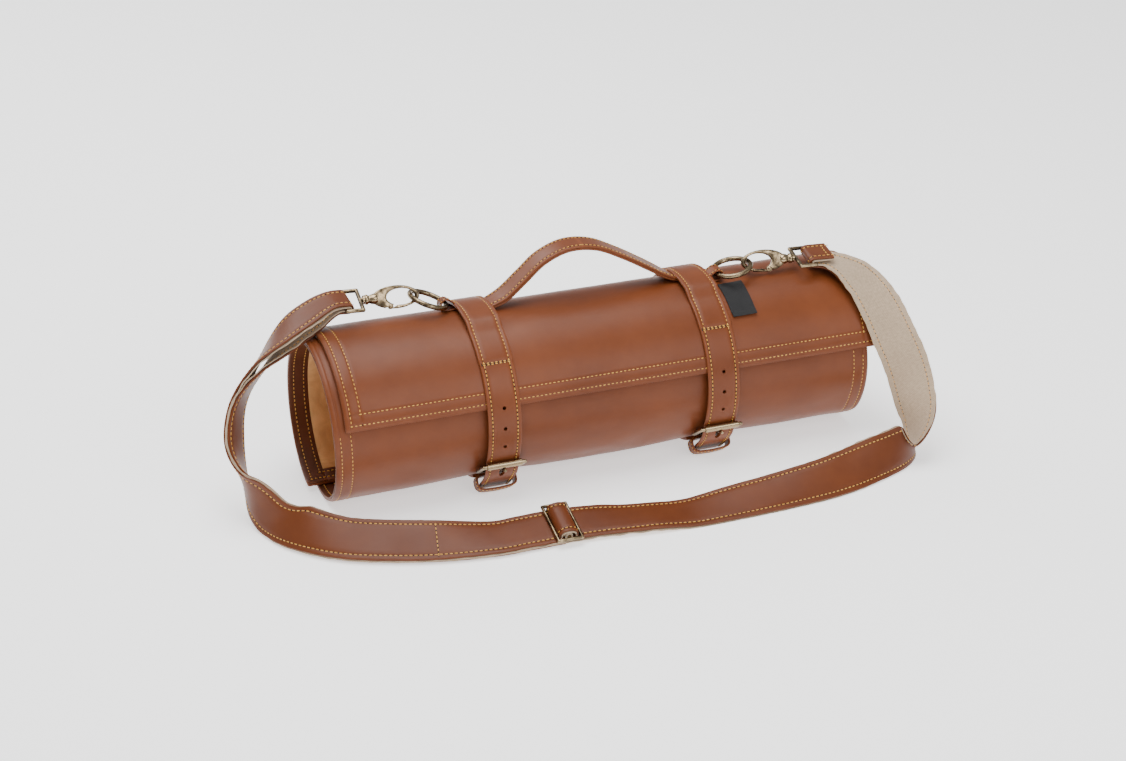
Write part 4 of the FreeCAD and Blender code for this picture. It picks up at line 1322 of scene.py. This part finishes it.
@dataclass
class SnapHook:
    """A cast snap hook: a broad body that thins to its nose, a gate, and a neck for its swivel.

    Args:
        hardware: where it is.
        side: which of the two it is.
        lean: how far its loop leans back.
    """

    hardware: Hardware
    side: Side
    lean: float
    thickness: float = 4.4
    pivot: Pair = (21.8, -6.5)

    def to_frame(self, x: float, y: float, z: float) -> Vector:
        """A point of the hook's own frame, in the frame, in metres."""
        nose, line, across, up = self.hardware.hook_frame(self.side.value, self.lean)
        return (nose + line * x + across * y + up * z + self.hardware.roll.shift) * MM

    @staticmethod
    def rims(turn: float) -> tuple[Pair, Pair]:
        """The outline and the opening at an angle round the loop: 0 is the swivel's side, 90 the top."""
        c, s = math.cos(turn), math.sin(turn)
        return (17.5 + 17.5 * c, 8.4 * s), (13.8 + 10.4 * c, 5.9 * s)

    def sweep(self, name: str, first: float, last: float, depth: Callable[[float], float]) -> bpy.types.Object:
        """Part of the loop, from one angle to another, with rounded sections.

        Args:
            name: of the piece.
            first: the angle where it starts, in degrees.
            last: where it ends.
            depth: half its thickness at an angle.

        Returns:
            A closed mesh.
        """
        turns = spread(first, last, 4.0)
        count = 20
        rings = []
        for degrees in turns:
            (ox, oz), (ix, iz) = self.rims(math.radians(degrees))
            mx, mz = (ox + ix) / 2, (oz + iz) / 2
            hx, hz = (ox - ix) / 2, (oz - iz) / 2
            broad = math.hypot(hx, hz)
            power = 0.82 - 0.38 * smooth_step(broad, 1.8, 4.5)
            ring = []
            for k in range(count):
                t = 2 * math.pi * k / count
                c, s = math.cos(t), math.sin(t)
                a = math.copysign(abs(c) ** power, c)
                b = math.copysign(abs(s) ** power, s)
                ring.append(self.to_frame(mx + hx * a, -depth(degrees) * b * self.side.value, mz + hz * a))
            rings.append(ring)
        made = grid_piece(
            name, len(rings), count + 1, lambda i, j: rings[i][j % count], lambda i, j: (turns[i] / 3, j)
        )
        made = close_tube(made)
        return recalculated(made)

    def join(self, parts: Sequence[bpy.types.Object], name: str) -> bpy.types.Object:
        """One object of several, with their shapes kept."""
        deselect()
        for part in parts:
            part.select_set(True)
        bpy.context.view_layer.objects.active = parts[0]
        bpy.ops.object.join()
        parts[0].name = parts[0].data.name = name
        return parts[0]

    def turned(
        self, stops: Sequence[Pair], at: Triple = (0, 0, 0), way: str = "x", sides: int = 28
    ) -> bpy.types.Object:
        """A round part about a line of the hook's own frame.

        Args:
            stops: its outline, as (along, radius).
            at: where the line starts.
            way: "x" along the hook, or "y" across it.
            sides: how many.

        Returns:
            A closed mesh.
        """
        spots = []
        for along, radius in stops:
            ring = []
            for k in range(sides):
                t = 2 * math.pi * k / sides
                a, b = radius * math.cos(t), radius * math.sin(t)
                local = (at[0] + along, at[1] + a, at[2] + b) if way == "x" else (at[0] + a, at[1] + along, at[2] + b)
                ring.append(self.to_frame(*local))
            spots.append(ring)
        made = grid_piece("round", len(stops), sides + 1, lambda i, j: spots[i][j % sides], lambda i, j: (i, j))
        return recalculated(close_tube(made))

    def build(self) -> None:
        """Makes the body and the gate."""
        half = self.thickness / 2

        def depth(degrees: float) -> float:
            """Fullest at the swivel's side, slimmer at the nose."""
            return half - 0.35 * (1 - math.cos(math.radians(degrees))) / 2

        body = self.sweep(f"{self.side.word}_hook_cast", -62.0, 238.0, depth)
        room = self.box_tool((7.0, 24.2), (-1.12, 1.12), (-9.6, -3.6))
        self.carve(body, room)
        wide = self.box_tool((8.3, 19.4), (-5, 5), (-9.6, -0.9))
        self.carve(body, wide)
        bell = [(31.0, 3.4), (33.0, 4.0), (35.5, 3.5), (36.6, 2.9)]
        neck = self.turned([*bell, (37.4, 2.9), (38.2, 3.7), (39.6, 3.7), (40.0, 3.3)])
        rivets = []
        for sign in (-1, 1):
            stops = [(sign * a, r) for a, r in ((1.4, 1.5), (2.2, 1.5), (2.6, 1.15), (2.75, 0.5))]
            rivets.append(self.turned(stops, (self.pivot[0], 0, self.pivot[1]), "y", 16))
        cast = self.join([body, neck, *rivets], f"{self.side.word}_hook_cast")
        stand_for(self.rounded(cast, 0.25), BRASS, "antique_brass", f"{self.side.word}_hook_body")
        gate = self.sweep(f"{self.side.word}_hook_latch", 240.5, 283.0, self.gate_depth)
        knuckle = self.turned([(-1.0, 2.1), (1.0, 2.1)], (self.pivot[0], 0, self.pivot[1]), "y", 20)
        latch = self.join([gate, knuckle], f"{self.side.word}_hook_latch")
        stand_for(self.rounded(latch, 0.12), BRASS, "antique_brass", f"{self.side.word}_hook_gate")

    @staticmethod
    def gate_depth(degrees: float) -> float:
        """Half the gate's thickness: as thick as the nose, then thin between the body's cheeks."""
        return 1.9 - 0.9 * smooth_step(degrees, 268, 274)

    def box_tool(self, xs: Pair, ys: Pair, zs: Pair) -> bpy.types.Object:
        """A block in the hook's own frame, to cut with."""
        deselect()
        bpy.ops.mesh.primitive_cube_add(size=1.0)
        tool = bpy.context.active_object
        for vertex in tool.data.vertices:
            x, y, z = (p[0] if c < 0 else p[1] for p, c in zip((xs, ys, zs), vertex.co))
            vertex.co = self.to_frame(x, y, z)
        return recalculated(tool)

    @staticmethod
    def carve(piece: bpy.types.Object, tool: bpy.types.Object) -> None:
        """Cuts the tool out of the piece."""
        make_active(piece)
        cut = piece.modifiers.new("cut", "BOOLEAN")
        cut.operation = "DIFFERENCE"
        cut.solver = "EXACT"
        cut.object = tool
        bpy.ops.object.modifier_apply(modifier=cut.name)
        bpy.data.objects.remove(tool)

    @staticmethod
    def rounded(piece: bpy.types.Object, width: float) -> bpy.types.Object:
        """Rounds the sharp edges, as a casting's are."""
        make_active(piece)
        bevel = piece.modifiers.new("rounding", "BEVEL")
        bevel.width = width * MM
        bevel.segments = 2
        bevel.limit_method = "ANGLE"
        bevel.angle_limit = math.radians(50)
        bpy.ops.object.modifier_apply(modifier=bevel.name)
        return smooth(piece, 45)


def recalculated(piece: bpy.types.Object) -> bpy.types.Object:
    """Turns a closed mesh's faces outwards."""
    make_active(piece)
    bpy.ops.object.mode_set(mode="EDIT")
    bpy.ops.mesh.select_all(action="SELECT")
    bpy.ops.mesh.normals_make_consistent(inside=False)
    bpy.ops.object.mode_set(mode="OBJECT")
    return piece


# ---- label ------------------------------------------------------------------------------------
@dataclass
class Label:
    """The plain woven label beside the right belt, its lower end folded under."""

    roll: Roll
    width: float = 19.0
    low: float = 48.0
    high: float = 77.0

    def build(self) -> None:
        """Makes the label."""
        start = self.roll.belt_x + 12.8
        us = spread(start, start + self.width, 1.2)
        vs = spread(self.low, self.high, 1.0)

        def spot(x: float, angle: float) -> Vector:
            """Its upper face: lifted at the fold, and waving a little."""
            fold = 1.1 * (1 - smooth_step(angle, self.low + 0.5, self.low + 7))
            crease = dip(angle - self.low - 5.0, 0.25, 0.7)
            wave = 0.25 * wavy(x / 7, angle / 5)
            return self.roll.point(x, angle, 0.95 + fold - crease + wave + 0.5 * smooth_step(x, start + 10, start + 19))

        made = smooth(thicken(sheet_piece("woven_tag", us, vs, spot), 0.7, 0.25, 2), 60)
        stand_for(made, LABEL, "label", "woven_label")


# ---- shoulder strap ---------------------------------------------------------------------------
# Stations along the strap's middle, from the right hook to the left one: x, y, z, and the direction
# that its leather face looks in. Where z is 0 the strap lies on the floor.
RIGHT_RUN = (
    (192.0, -17.0, 130.0, 0.0, 0.12, -1.0),
    (203.0, -28.0, 125.5, 0.0, 0.3, -0.95),
    (211.0, -42.0, 116.5, 0.03, 0.5, -0.87),
    (216.0, -56.0, 104.5, 0.18, 0.6, -0.78),
    (222.0, -67.0, 87.0, 0.34, 0.66, -0.67),
    (229.0, -77.0, 66.0, 0.48, 0.66, -0.58),
    (232.5, -86.0, 46.0, 0.64, 0.52, -0.5),
    (232.0, -97.0, 26.0, 0.8, 0.1, -0.35),
    (219.0, -109.0, 0.0, 0.62, -0.62, 0.15),
)
FRONT_RUN = (
    (189.0, -119.0, 0.0, 0.3, -0.78, 0.5),
    (150.0, -126.5, 0.0, 0.1, -0.62, 0.78),
    (110.0, -128.7, 0.0, 0.03, -0.44, 0.9),
    (70.0, -129.4, 0.0, 0.0, -0.3, 0.95),
    (30.0, -128.5, 0.0, 0.0, -0.12, 0.99),
    (-5.0, -125.2, 0.0, 0.0, -0.1, 0.99),
    (-35.0, -121.5, 0.0, 0.0, -0.2, 0.98),
    (-62.0, -120.5, 0.0, 0.0, -0.25, 0.97),
    (-90.0, -120.5, 0.0, 0.0, -0.25, 0.97),
    (-112.0, -120.5, 0.0, 0.0, -0.25, 0.97),
    (-150.0, -116.0, 0.0, -0.1, -0.45, 0.88),
)
LEFT_RUN = (
    (-182.0, -106.5, 0.0, -0.18, -0.5, 0.85),
    (-213.0, -92.0, 0.0, -0.32, -0.46, 0.83),
    (-240.0, -70.0, 0.0, -0.65, -0.38, 0.65),
    (-256.0, -46.0, 16.0, -0.85, -0.05, 0.45),
    (-266.0, -22.0, 29.0, -0.9, 0.3, 0.1),
    (-269.0, -3.0, 52.0, -0.85, 0.5, -0.1),
    (-262.0, 8.0, 80.0, -0.85, 0.5, 0.05),
    (-245.0, 12.0, 106.0, -0.8, 0.4, 0.35),
    (-222.0, 13.5, 127.5, -0.55, 0.05, 0.8),
    (-201.0, 16.0, 139.0, -0.25, -0.1, 0.93),
    (-187.0, 18.0, 143.6, -0.05, -0.13, 0.98),
)


@dataclass
class ShoulderStrap:
    """The clip-on strap: leather lined with canvas, doubled from the left hook back to its slider.

    Args:
        hardware: where the hooks' eyes are.
        width: of the strap.
        end_width: of the strap at the hooks.
        leather: thickness of the leather.
        canvas: thickness of the canvas.
        ply_gap: between leather and canvas.
        gap: between the main run and its return.
        eye_clear: from the middle of an eye's bar to the canvas round it.
        eye_bar: from a hook's nose to that bar.
        steps: samples from one station to the next.
        eye_lean: how far each eye leans back, left and right, in degrees.
        tongue: length of the sewn end at the right hook.
        slider_x: the slider's place along X.
        seam_inset: from the strap's edge to its stitches.
        join: where the cross seam is, as (x, y).
        main: the stations of the run from hook to hook.
        along: the distance along that run at each.
        halves: half the width at each.
    """

    hardware: Hardware
    width: float = 32.0
    end_width: float = 22.0
    leather: float = 1.5
    canvas: float = 0.8
    ply_gap: float = 0.05
    gap: float = 0.4
    eye_clear: float = 1.75
    eye_bar: float = 55.0
    steps: int = 12
    eye_lean: tuple[float, float] = (-8.0, -6.0)
    tongue: float = 15.0
    slider_x: float = -62.0
    seam_inset: float = 3.6
    join: Pair = (-152.0, -116.0)
    main: list[Station] = field(default_factory=list)
    along: list[float] = field(default_factory=list)
    halves: list[float] = field(default_factory=list)

    @property
    def shift(self) -> Vector:
        """Where the stations' origin stands in the frame."""
        return self.hardware.roll.shift

    def eye(self, side: Side) -> tuple[Vector, Vector, Vector, Vector]:
        """The middle of the eye's outer bar, and the hook's directions there."""
        lean = self.eye_lean[0] if side is Side.LEFT else self.eye_lean[1]
        nose, line, across, up = self.hardware.hook_frame(side.value, lean)
        return nose + line * self.eye_bar, line, across, up

    def beside_eye(self, side: Side) -> list[float]:
        """Where the strap's leather meets the bar of a hook's eye."""
        bar, _, _, up = self.eye(side)
        rise = self.eye_clear + self.canvas + self.ply_gap + self.leather / 2
        return [*(bar - up * side.value * rise), *(up * -side.value)]

    def lay_out(self) -> None:
        """Works out the stations of the main run from hook to hook."""
        rows = through(
            [self.beside_eye(Side.RIGHT), *RIGHT_RUN, *FRONT_RUN, *LEFT_RUN, self.beside_eye(Side.LEFT)], self.steps
        )
        middles = [Vector(row[:3]) for row in rows]
        self.along = [0.0]
        for a, b in zip(middles, middles[1:]):
            self.along.append(self.along[-1] + (b - a).length)
        stations = stations_along(middles, [Vector(row[3:]) for row in rows])
        self.halves = []
        for i, spot in enumerate(stations):
            near = min(self.along[i], self.along[-1] - self.along[i])
            half = (self.end_width + (self.width - self.end_width) * smooth_step(near, 6, 45)) / 2
            doubled = smooth_step(-spot.middle.x, -40, 0)
            depth = self.leather / 2 + self.ply_gap + self.canvas
            depth += doubled * (self.gap + self.canvas + self.ply_gap + self.leather)
            resting = 0.5 + half * abs(spot.across.z) + depth * abs(spot.face.z)
            spot.middle.z = 0.5 * (spot.middle.z + resting + math.hypot(spot.middle.z - resting, 1.5))
            self.halves.append(half)
        self.main = stations

    def number_at(self, x: float) -> int:
        """The main run's station on the floor in front that is nearest to a place along X."""
        floor = [i for i, s in enumerate(self.main) if s.middle.y < -100]
        return min(floor, key=lambda i: abs(self.main[i].middle.x - x))

    def opening(self, i: int) -> float:
        """Between the main run's canvas and that of its return."""
        near = self.along[-1] - self.along[i]
        close = self.gap + (2 * self.eye_clear - self.gap) * (1 - smooth_step(near, 30, 110))
        return close + 5.5 * smooth_step(near, 6, 34) * (1 - smooth_step(near, 48, 120))

    def full_path(self) -> tuple[list[Station], list[float], list[int]]:
        """The whole strap as one line of stations, with half widths.

        Returns:
            Stations from the tongue's tip, round the right eye, along the main run, round the left
            eye and back to the slider, half the width at each, and the numbers where each part starts.
        """
        path: list[Station] = []
        halves: list[float] = []
        rise = self.eye_clear + self.canvas + self.ply_gap + self.leather / 2
        bar, line, across, up = self.eye(Side.RIGHT)
        for reach in spread(self.tongue, 1.0, 1.5):
            path.append(Station(bar + line * reach + up * rise, across.copy(), up.copy()))
            halves.append(self.end_width / 2)
        for degrees in range(80, -90, -16):
            t = math.radians(degrees)
            way = up * math.sin(t) - line * math.cos(t)
            path.append(Station(bar + way * rise, across.copy(), way))
            halves.append(self.end_width / 2)
        starts = [len(path)]
        path += self.main
        halves += self.halves
        starts.append(len(path))
        bar, line, across, up = self.eye(Side.LEFT)
        for degrees in range(80, -90, -16):
            t = math.radians(degrees)
            way = up * math.sin(t) - line * math.cos(t)
            path.append(Station(bar + way * rise, path[-1].across.copy(), way))
            halves.append(self.end_width / 2)
        starts.append(len(path))
        end = self.number_at(self.slider_x - 1.5)
        for i in range(len(self.main) - 1, end - 1, -1):
            spot = self.main[i]
            drop = self.leather + 2 * (self.ply_gap + self.canvas) + self.opening(i)
            near = self.along[-1] - self.along[i]
            slide = -4.5 * smooth_step(near, 8, 36) * (1 - smooth_step(near, 50, 125))
            path.append(Station(spot.middle - spot.face * drop + spot.across * slide, spot.across, -spot.face))
            halves.append(self.halves[i])
        return path, halves, starts

    def build(self) -> None:
        """Makes the strap, its stitches, its slider's hump and the wrap round the slider's bar."""
        self.lay_out()
        path, halves, starts = self.full_path()
        across_signs = [1 if path[i].across.dot(path[i - 1].across) >= 0 else -1 for i in range(1, len(path))]
        if min(across_signs) < 0:
            raise ValueError("the strap's width direction turns over")
        run = [0.0]
        for a, b in zip(path, path[1:]):
            run.append(run[-1] + (b.middle - a.middle).length)
        self.leather_piece(path, halves, run)
        self.canvas_piece(path, halves, run, starts)
        self.slider_pieces()

    def joined_at(self, path: list[Station]) -> int:
        """The station of the seam where two lengths of leather join, on the upper run."""

        def far(i: int) -> float:
            """How far a station is from the join, less where its leather looks up."""
            offset = Vector((path[i].middle.x - self.join[0], path[i].middle.y - self.join[1]))
            return offset.length - 5 * path[i].face.z

        return min(range(len(path)), key=far)

    def crumple(self, run: float) -> float:
        """How much the strap has been creased at a distance along it."""
        return 0.5 + 0.5 * wavy(run / 60.0, 3.1)

    @staticmethod
    def plies(material: str) -> list[str]:
        """The frame's nodes along the main run and its return, of one material."""
        main = [f"strap_{part}_{material}" for part in ("right", "front", "left")]
        return main + [f"return_{part}_{material}" for part in ("front", "left")]

    def leather_piece(self, path: list[Station], halves: list[float], run: list[float]) -> None:
        """The leather side and its stitches."""
        top = self.leather / 2

        def section(i: int) -> Outline:
            """The outline, with slightly uneven edges."""
            uneven = 0.22 * wavy(run[i] / 14, 1.7)
            return outline(halves[i] + uneven, -top, top, 0.45, self.seam_inset, 0.22)

        def warp(i: int, across: float, height: float, place: Vector) -> Vector:
            """Soft waves across the strap."""
            wave = 0.3 * wavy(run[i] / 17, across / 16 + 4) * self.crumple(run[i])
            cupped = -0.35 * (across / 16) ** 2
            return place + path[i].face * (wave + cupped)

        strip = Strip("strap_leather", path, section, self.shift, warp)
        nodes = [*self.plies("leather"), "strap_left_fold", "strap_right_fold"]
        stand_for(strip.build(), STRAP_LEATHER, "strap_leather", *nodes)
        seam = Seam(pitch=3.5, length=2.6, radius=0.4)
        for sign in (-1, 1):
            strip.row(seam, lambda i: sign * (halves[i] - self.seam_inset), top - 0.24)
        for number in (3, self.joined_at(path)):
            reach = halves[number] - self.seam_inset
            points = [strip.point(number, s, top + 0.02) for s in spread(-reach, reach, 1.0)]
            seam.run(points, [path[number].face] * len(points))
        seam.finish("strap_seams", "strap", "strap_leather")

    def canvas_piece(self, path: list[Station], halves: list[float], run: list[float], starts: list[int]) -> None:
        """The canvas side: a little wider than the leather, with wavy edges, and its stitches."""
        high = -self.leather / 2 - self.ply_gap
        low = high - self.canvas

        def section(i: int) -> Outline:
            """The outline, whose two edges wander on their own."""
            made = []
            for s, h in outline(halves[i] + 0.3, low, high, 0.35, 0.0):
                edge = smooth_step(abs(s), halves[i] - 5, halves[i])
                wander = 0.75 * wavy(run[i] / 7.5, 9.0 + math.copysign(3, s)) + 0.45
                made.append((s + math.copysign(edge * wander, s), h))
            return made

        def warp(i: int, across: float, height: float, place: Vector) -> Vector:
            """Ruffled edges and soft wrinkles."""
            side = math.copysign(1, across)
            edge = smooth_step(abs(across), halves[i] - 6, halves[i] + 1)
            folded = i < starts[0] or starts[1] <= i < starts[2]
            ruffle = 0.2 if folded else 0.9 * (0.6 + wavy(run[i] / 8, 21 + side * 4))
            wrinkle = 0.35 * wavy(run[i] / 11, across / 9 + 8)
            cupped = -0.35 * (across / 16) ** 2
            return place + path[i].face * (cupped - edge * max(ruffle, -0.1) - (0 if folded else max(0.0, wrinkle)))

        strip = Strip("strap_canvas", path, section, self.shift, warp)
        stand_for(strip.build(), CANVAS, "canvas", *self.plies("canvas"))
        seam = Seam(pitch=3.5, length=2.2, radius=0.34)
        for sign in (-1, 1):
            strip.row(seam, lambda i: sign * (halves[i] - self.seam_inset), low - 0.05, starts[0])
        seam.finish("strap_back_seams", "strap", "canvas")

    def slider_pieces(self) -> None:
        """The hump of strap over the slider's bar, and the strap's end round the bar."""
        spot = self.main[self.number_at(self.slider_x)]
        ahead = spot.face.cross(spot.across).normalized()
        base = spot.middle + spot.face * (self.leather / 2)
        half = self.width / 2 - 1.2
        arch = [(-7.0, 0.55), (-6.75, 1.6), (-6.5, 3.0), (-5.7, 4.8), (-3.5, 6.3), (0, 6.85)]
        rows = through(arch + [(-a, h) for a, h in reversed(arch[:-1])], 6)
        centre = base + spot.face * 1.5
        points = [base + ahead * a + spot.face * h for a, h in rows]
        stations = stations_along(points, [(p - centre).normalized() for p in points])
        strip = Strip(
            "slider_hump", stations, lambda i: outline(half, -0.75, 0.7, 0.45, 3.0, 0.22), self.shift
        )
        stand_for(strip.build(), STRAP_LEATHER, "strap_leather", "slider_hump_leather")
        seam = Seam(pitch=3.2, length=2.3, radius=0.32)
        for sign in (-1, 1):
            strip.row(seam, lambda _: sign * (half - 3.0), 0.6)
        seam.finish("slider_hump_seams", "slider", "strap_leather")
        lined = Strip(
            "slider_hump_lining",
            stations,
            lambda i: outline(half + 0.9 + 0.5 * wavy(i / 5, 2), -1.6, -0.8, 0.3, 0.0),
            self.shift,
        )
        stand_for(lined.build(), CANVAS, "canvas", "slider_hump_canvas")
        plane = base + spot.face * (0.4 + 1.2)
        loop = [math.radians(a) for a in range(-40, 221, 10)]
        curl = [plane + ahead * (2.3 * math.cos(a)) + spot.face * (2.3 * math.sin(a)) for a in loop]
        ways = [(p - plane).normalized() for p in curl]
        end = Strip(
            "strap_end",
            stations_along(curl, ways),
            lambda i: outline(half + 0.4 + 0.4 * wavy(i / 4, 7), -0.95, 0.7, 0.4, 0.0),
            self.shift,
        )
        stand_for(end.build(), CANVAS, "canvas", "strap_end_wrap")


# ---- the frame's own metal --------------------------------------------------------------------
METAL = ("buckle_frame", "roller", "prong", "_ring", "gate_pin", "hook_eye", "slider_frame", "slider_bar")


def dress_metal() -> None:
    """Gives the frame's buckles, rings, eyes and pins their finish."""
    for name, node in frame["nodes"].items():
        if any(word in name for word in METAL) and "tab" not in name:
            node.data.materials.clear()
            node.data.materials.append(BRASS.material())
            log.info("%s keeps its shape, in brass", name)


# ---- studio -----------------------------------------------------------------------------------
@dataclass(frozen=True)
class Lamp:
    """A soft light: where it is, where it aims, its size in metres, and its power."""

    name: str
    place: Triple
    aim: Triple
    size: Pair
    power: float


@dataclass
class Studio:
    """The floor, the lights and the camera."""

    lamps: tuple[Lamp, ...] = (
        Lamp("top_softbox", (-0.15, 0.1, 1.6), (0.0, 0.0, 0.05), (1.6, 1.2), 34.0),
        Lamp("front_softbox", (0.5, -1.6, 1.2), (0.0, 0.0, 0.05), (1.2, 0.9), 16.0),
        Lamp("back_softbox", (-0.6, 1.5, 1.1), (0.0, 0.0, 0.08), (1.2, 0.8), 12.0),
    )
    camera_place: Triple = (-0.567, -1.477, 0.855)
    camera_aim: Triple = (0.007, 0.065, 0.045)
    lens: float = 77.4

    def build(self) -> None:
        """Makes the studio."""
        deselect()
        bpy.ops.mesh.primitive_plane_add(size=12.0, location=(0, 0, 0))
        floor = bpy.context.active_object
        floor.name = "floor"
        paper = bpy.data.materials.new("white_paper")
        paper.use_nodes = True
        nodes = Nodes(paper.node_tree)
        shader = paper.node_tree.nodes.new("ShaderNodeBsdfPrincipled")
        end = paper.node_tree.nodes.new("ShaderNodeOutputMaterial")
        paper.node_tree.links.new(shader.outputs[0], end.inputs["Surface"])
        grain = nodes.add("TexNoise", Vector=nodes.add("TexCoord").outputs["Object"], Scale=60.0)
        tone = nodes.mix(grain.outputs["Fac"], (0.93, 0.93, 0.93, 1), (0.96, 0.96, 0.96, 1))
        paper.node_tree.links.new(tone, shader.inputs["Base Color"])
        shader.inputs["Roughness"].default_value = 0.8
        shader.inputs["Emission Color"].default_value = (1, 1, 1, 1)
        shader.inputs["Emission Strength"].default_value = 0.9
        floor.data.materials.append(paper)
        world = bpy.data.worlds.new("studio")
        bpy.context.scene.world = world
        world.use_nodes = True
        world.node_tree.nodes["Background"].inputs["Color"].default_value = (1, 1, 1, 1)
        world.node_tree.nodes["Background"].inputs["Strength"].default_value = 0.45
        for lamp in self.lamps:
            light = bpy.data.lights.new(lamp.name, "AREA")
            light.shape = "RECTANGLE"
            light.size, light.size_y = lamp.size
            light.energy = lamp.power
            self.aimed(bpy.data.objects.new(lamp.name, light), lamp.place, lamp.aim)
        lens = bpy.data.cameras.new("camera")
        lens.lens = self.lens
        lens.clip_end = 50
        bpy.context.scene.camera = self.aimed(bpy.data.objects.new("camera", lens), self.camera_place, self.camera_aim)

    @staticmethod
    def aimed(obj: bpy.types.Object, place: Triple, aim: Triple) -> bpy.types.Object:
        """Links an object, and points it."""
        bpy.context.scene.collection.objects.link(obj)
        obj.location = place
        obj.rotation_euler = (Vector(aim) - Vector(place)).to_track_quat("-Z", "Y").to_euler()
        return obj


def found_shift() -> Vector:
    """Where the line under the middle of the roll stands, from the wrap's own box."""
    low, high = (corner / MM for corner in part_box("outer_panel"))
    still = Roll(Vector((0, 0, 0)))
    faces = [still.surface(a) for a in spread(still.flap_angle, still.flap_angle + 360, 0.5)]
    back, top = max(y for y, _ in faces), max(z for _, z in faces)
    return Vector(((low.x + high.x) / 2, high.y - back, high.z - top))


def main() -> None:
    """Builds the brush roll, piece by piece, and its studio."""
    roll = Roll(found_shift())
    log.info("the roll stands at %s mm", [round(c, 3) for c in roll.shift])
    Studio().build()
    Wrap(roll).build()
    for side in Side:
        Belt(roll, side).build()
    Handle(roll).build()
    Label(roll).build()
    hardware = Hardware(roll)
    for side, lean in ((Side.LEFT, 28.0), (Side.RIGHT, 30.0)):
        RingTab(hardware, side).build()
        SnapHook(hardware, side, lean).build()
    ShoulderStrap(hardware).build()
    dress_metal()
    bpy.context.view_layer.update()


if __name__ == "__main__":
    logging.basicConfig(level=logging.INFO, format="%(message)s")
    main()
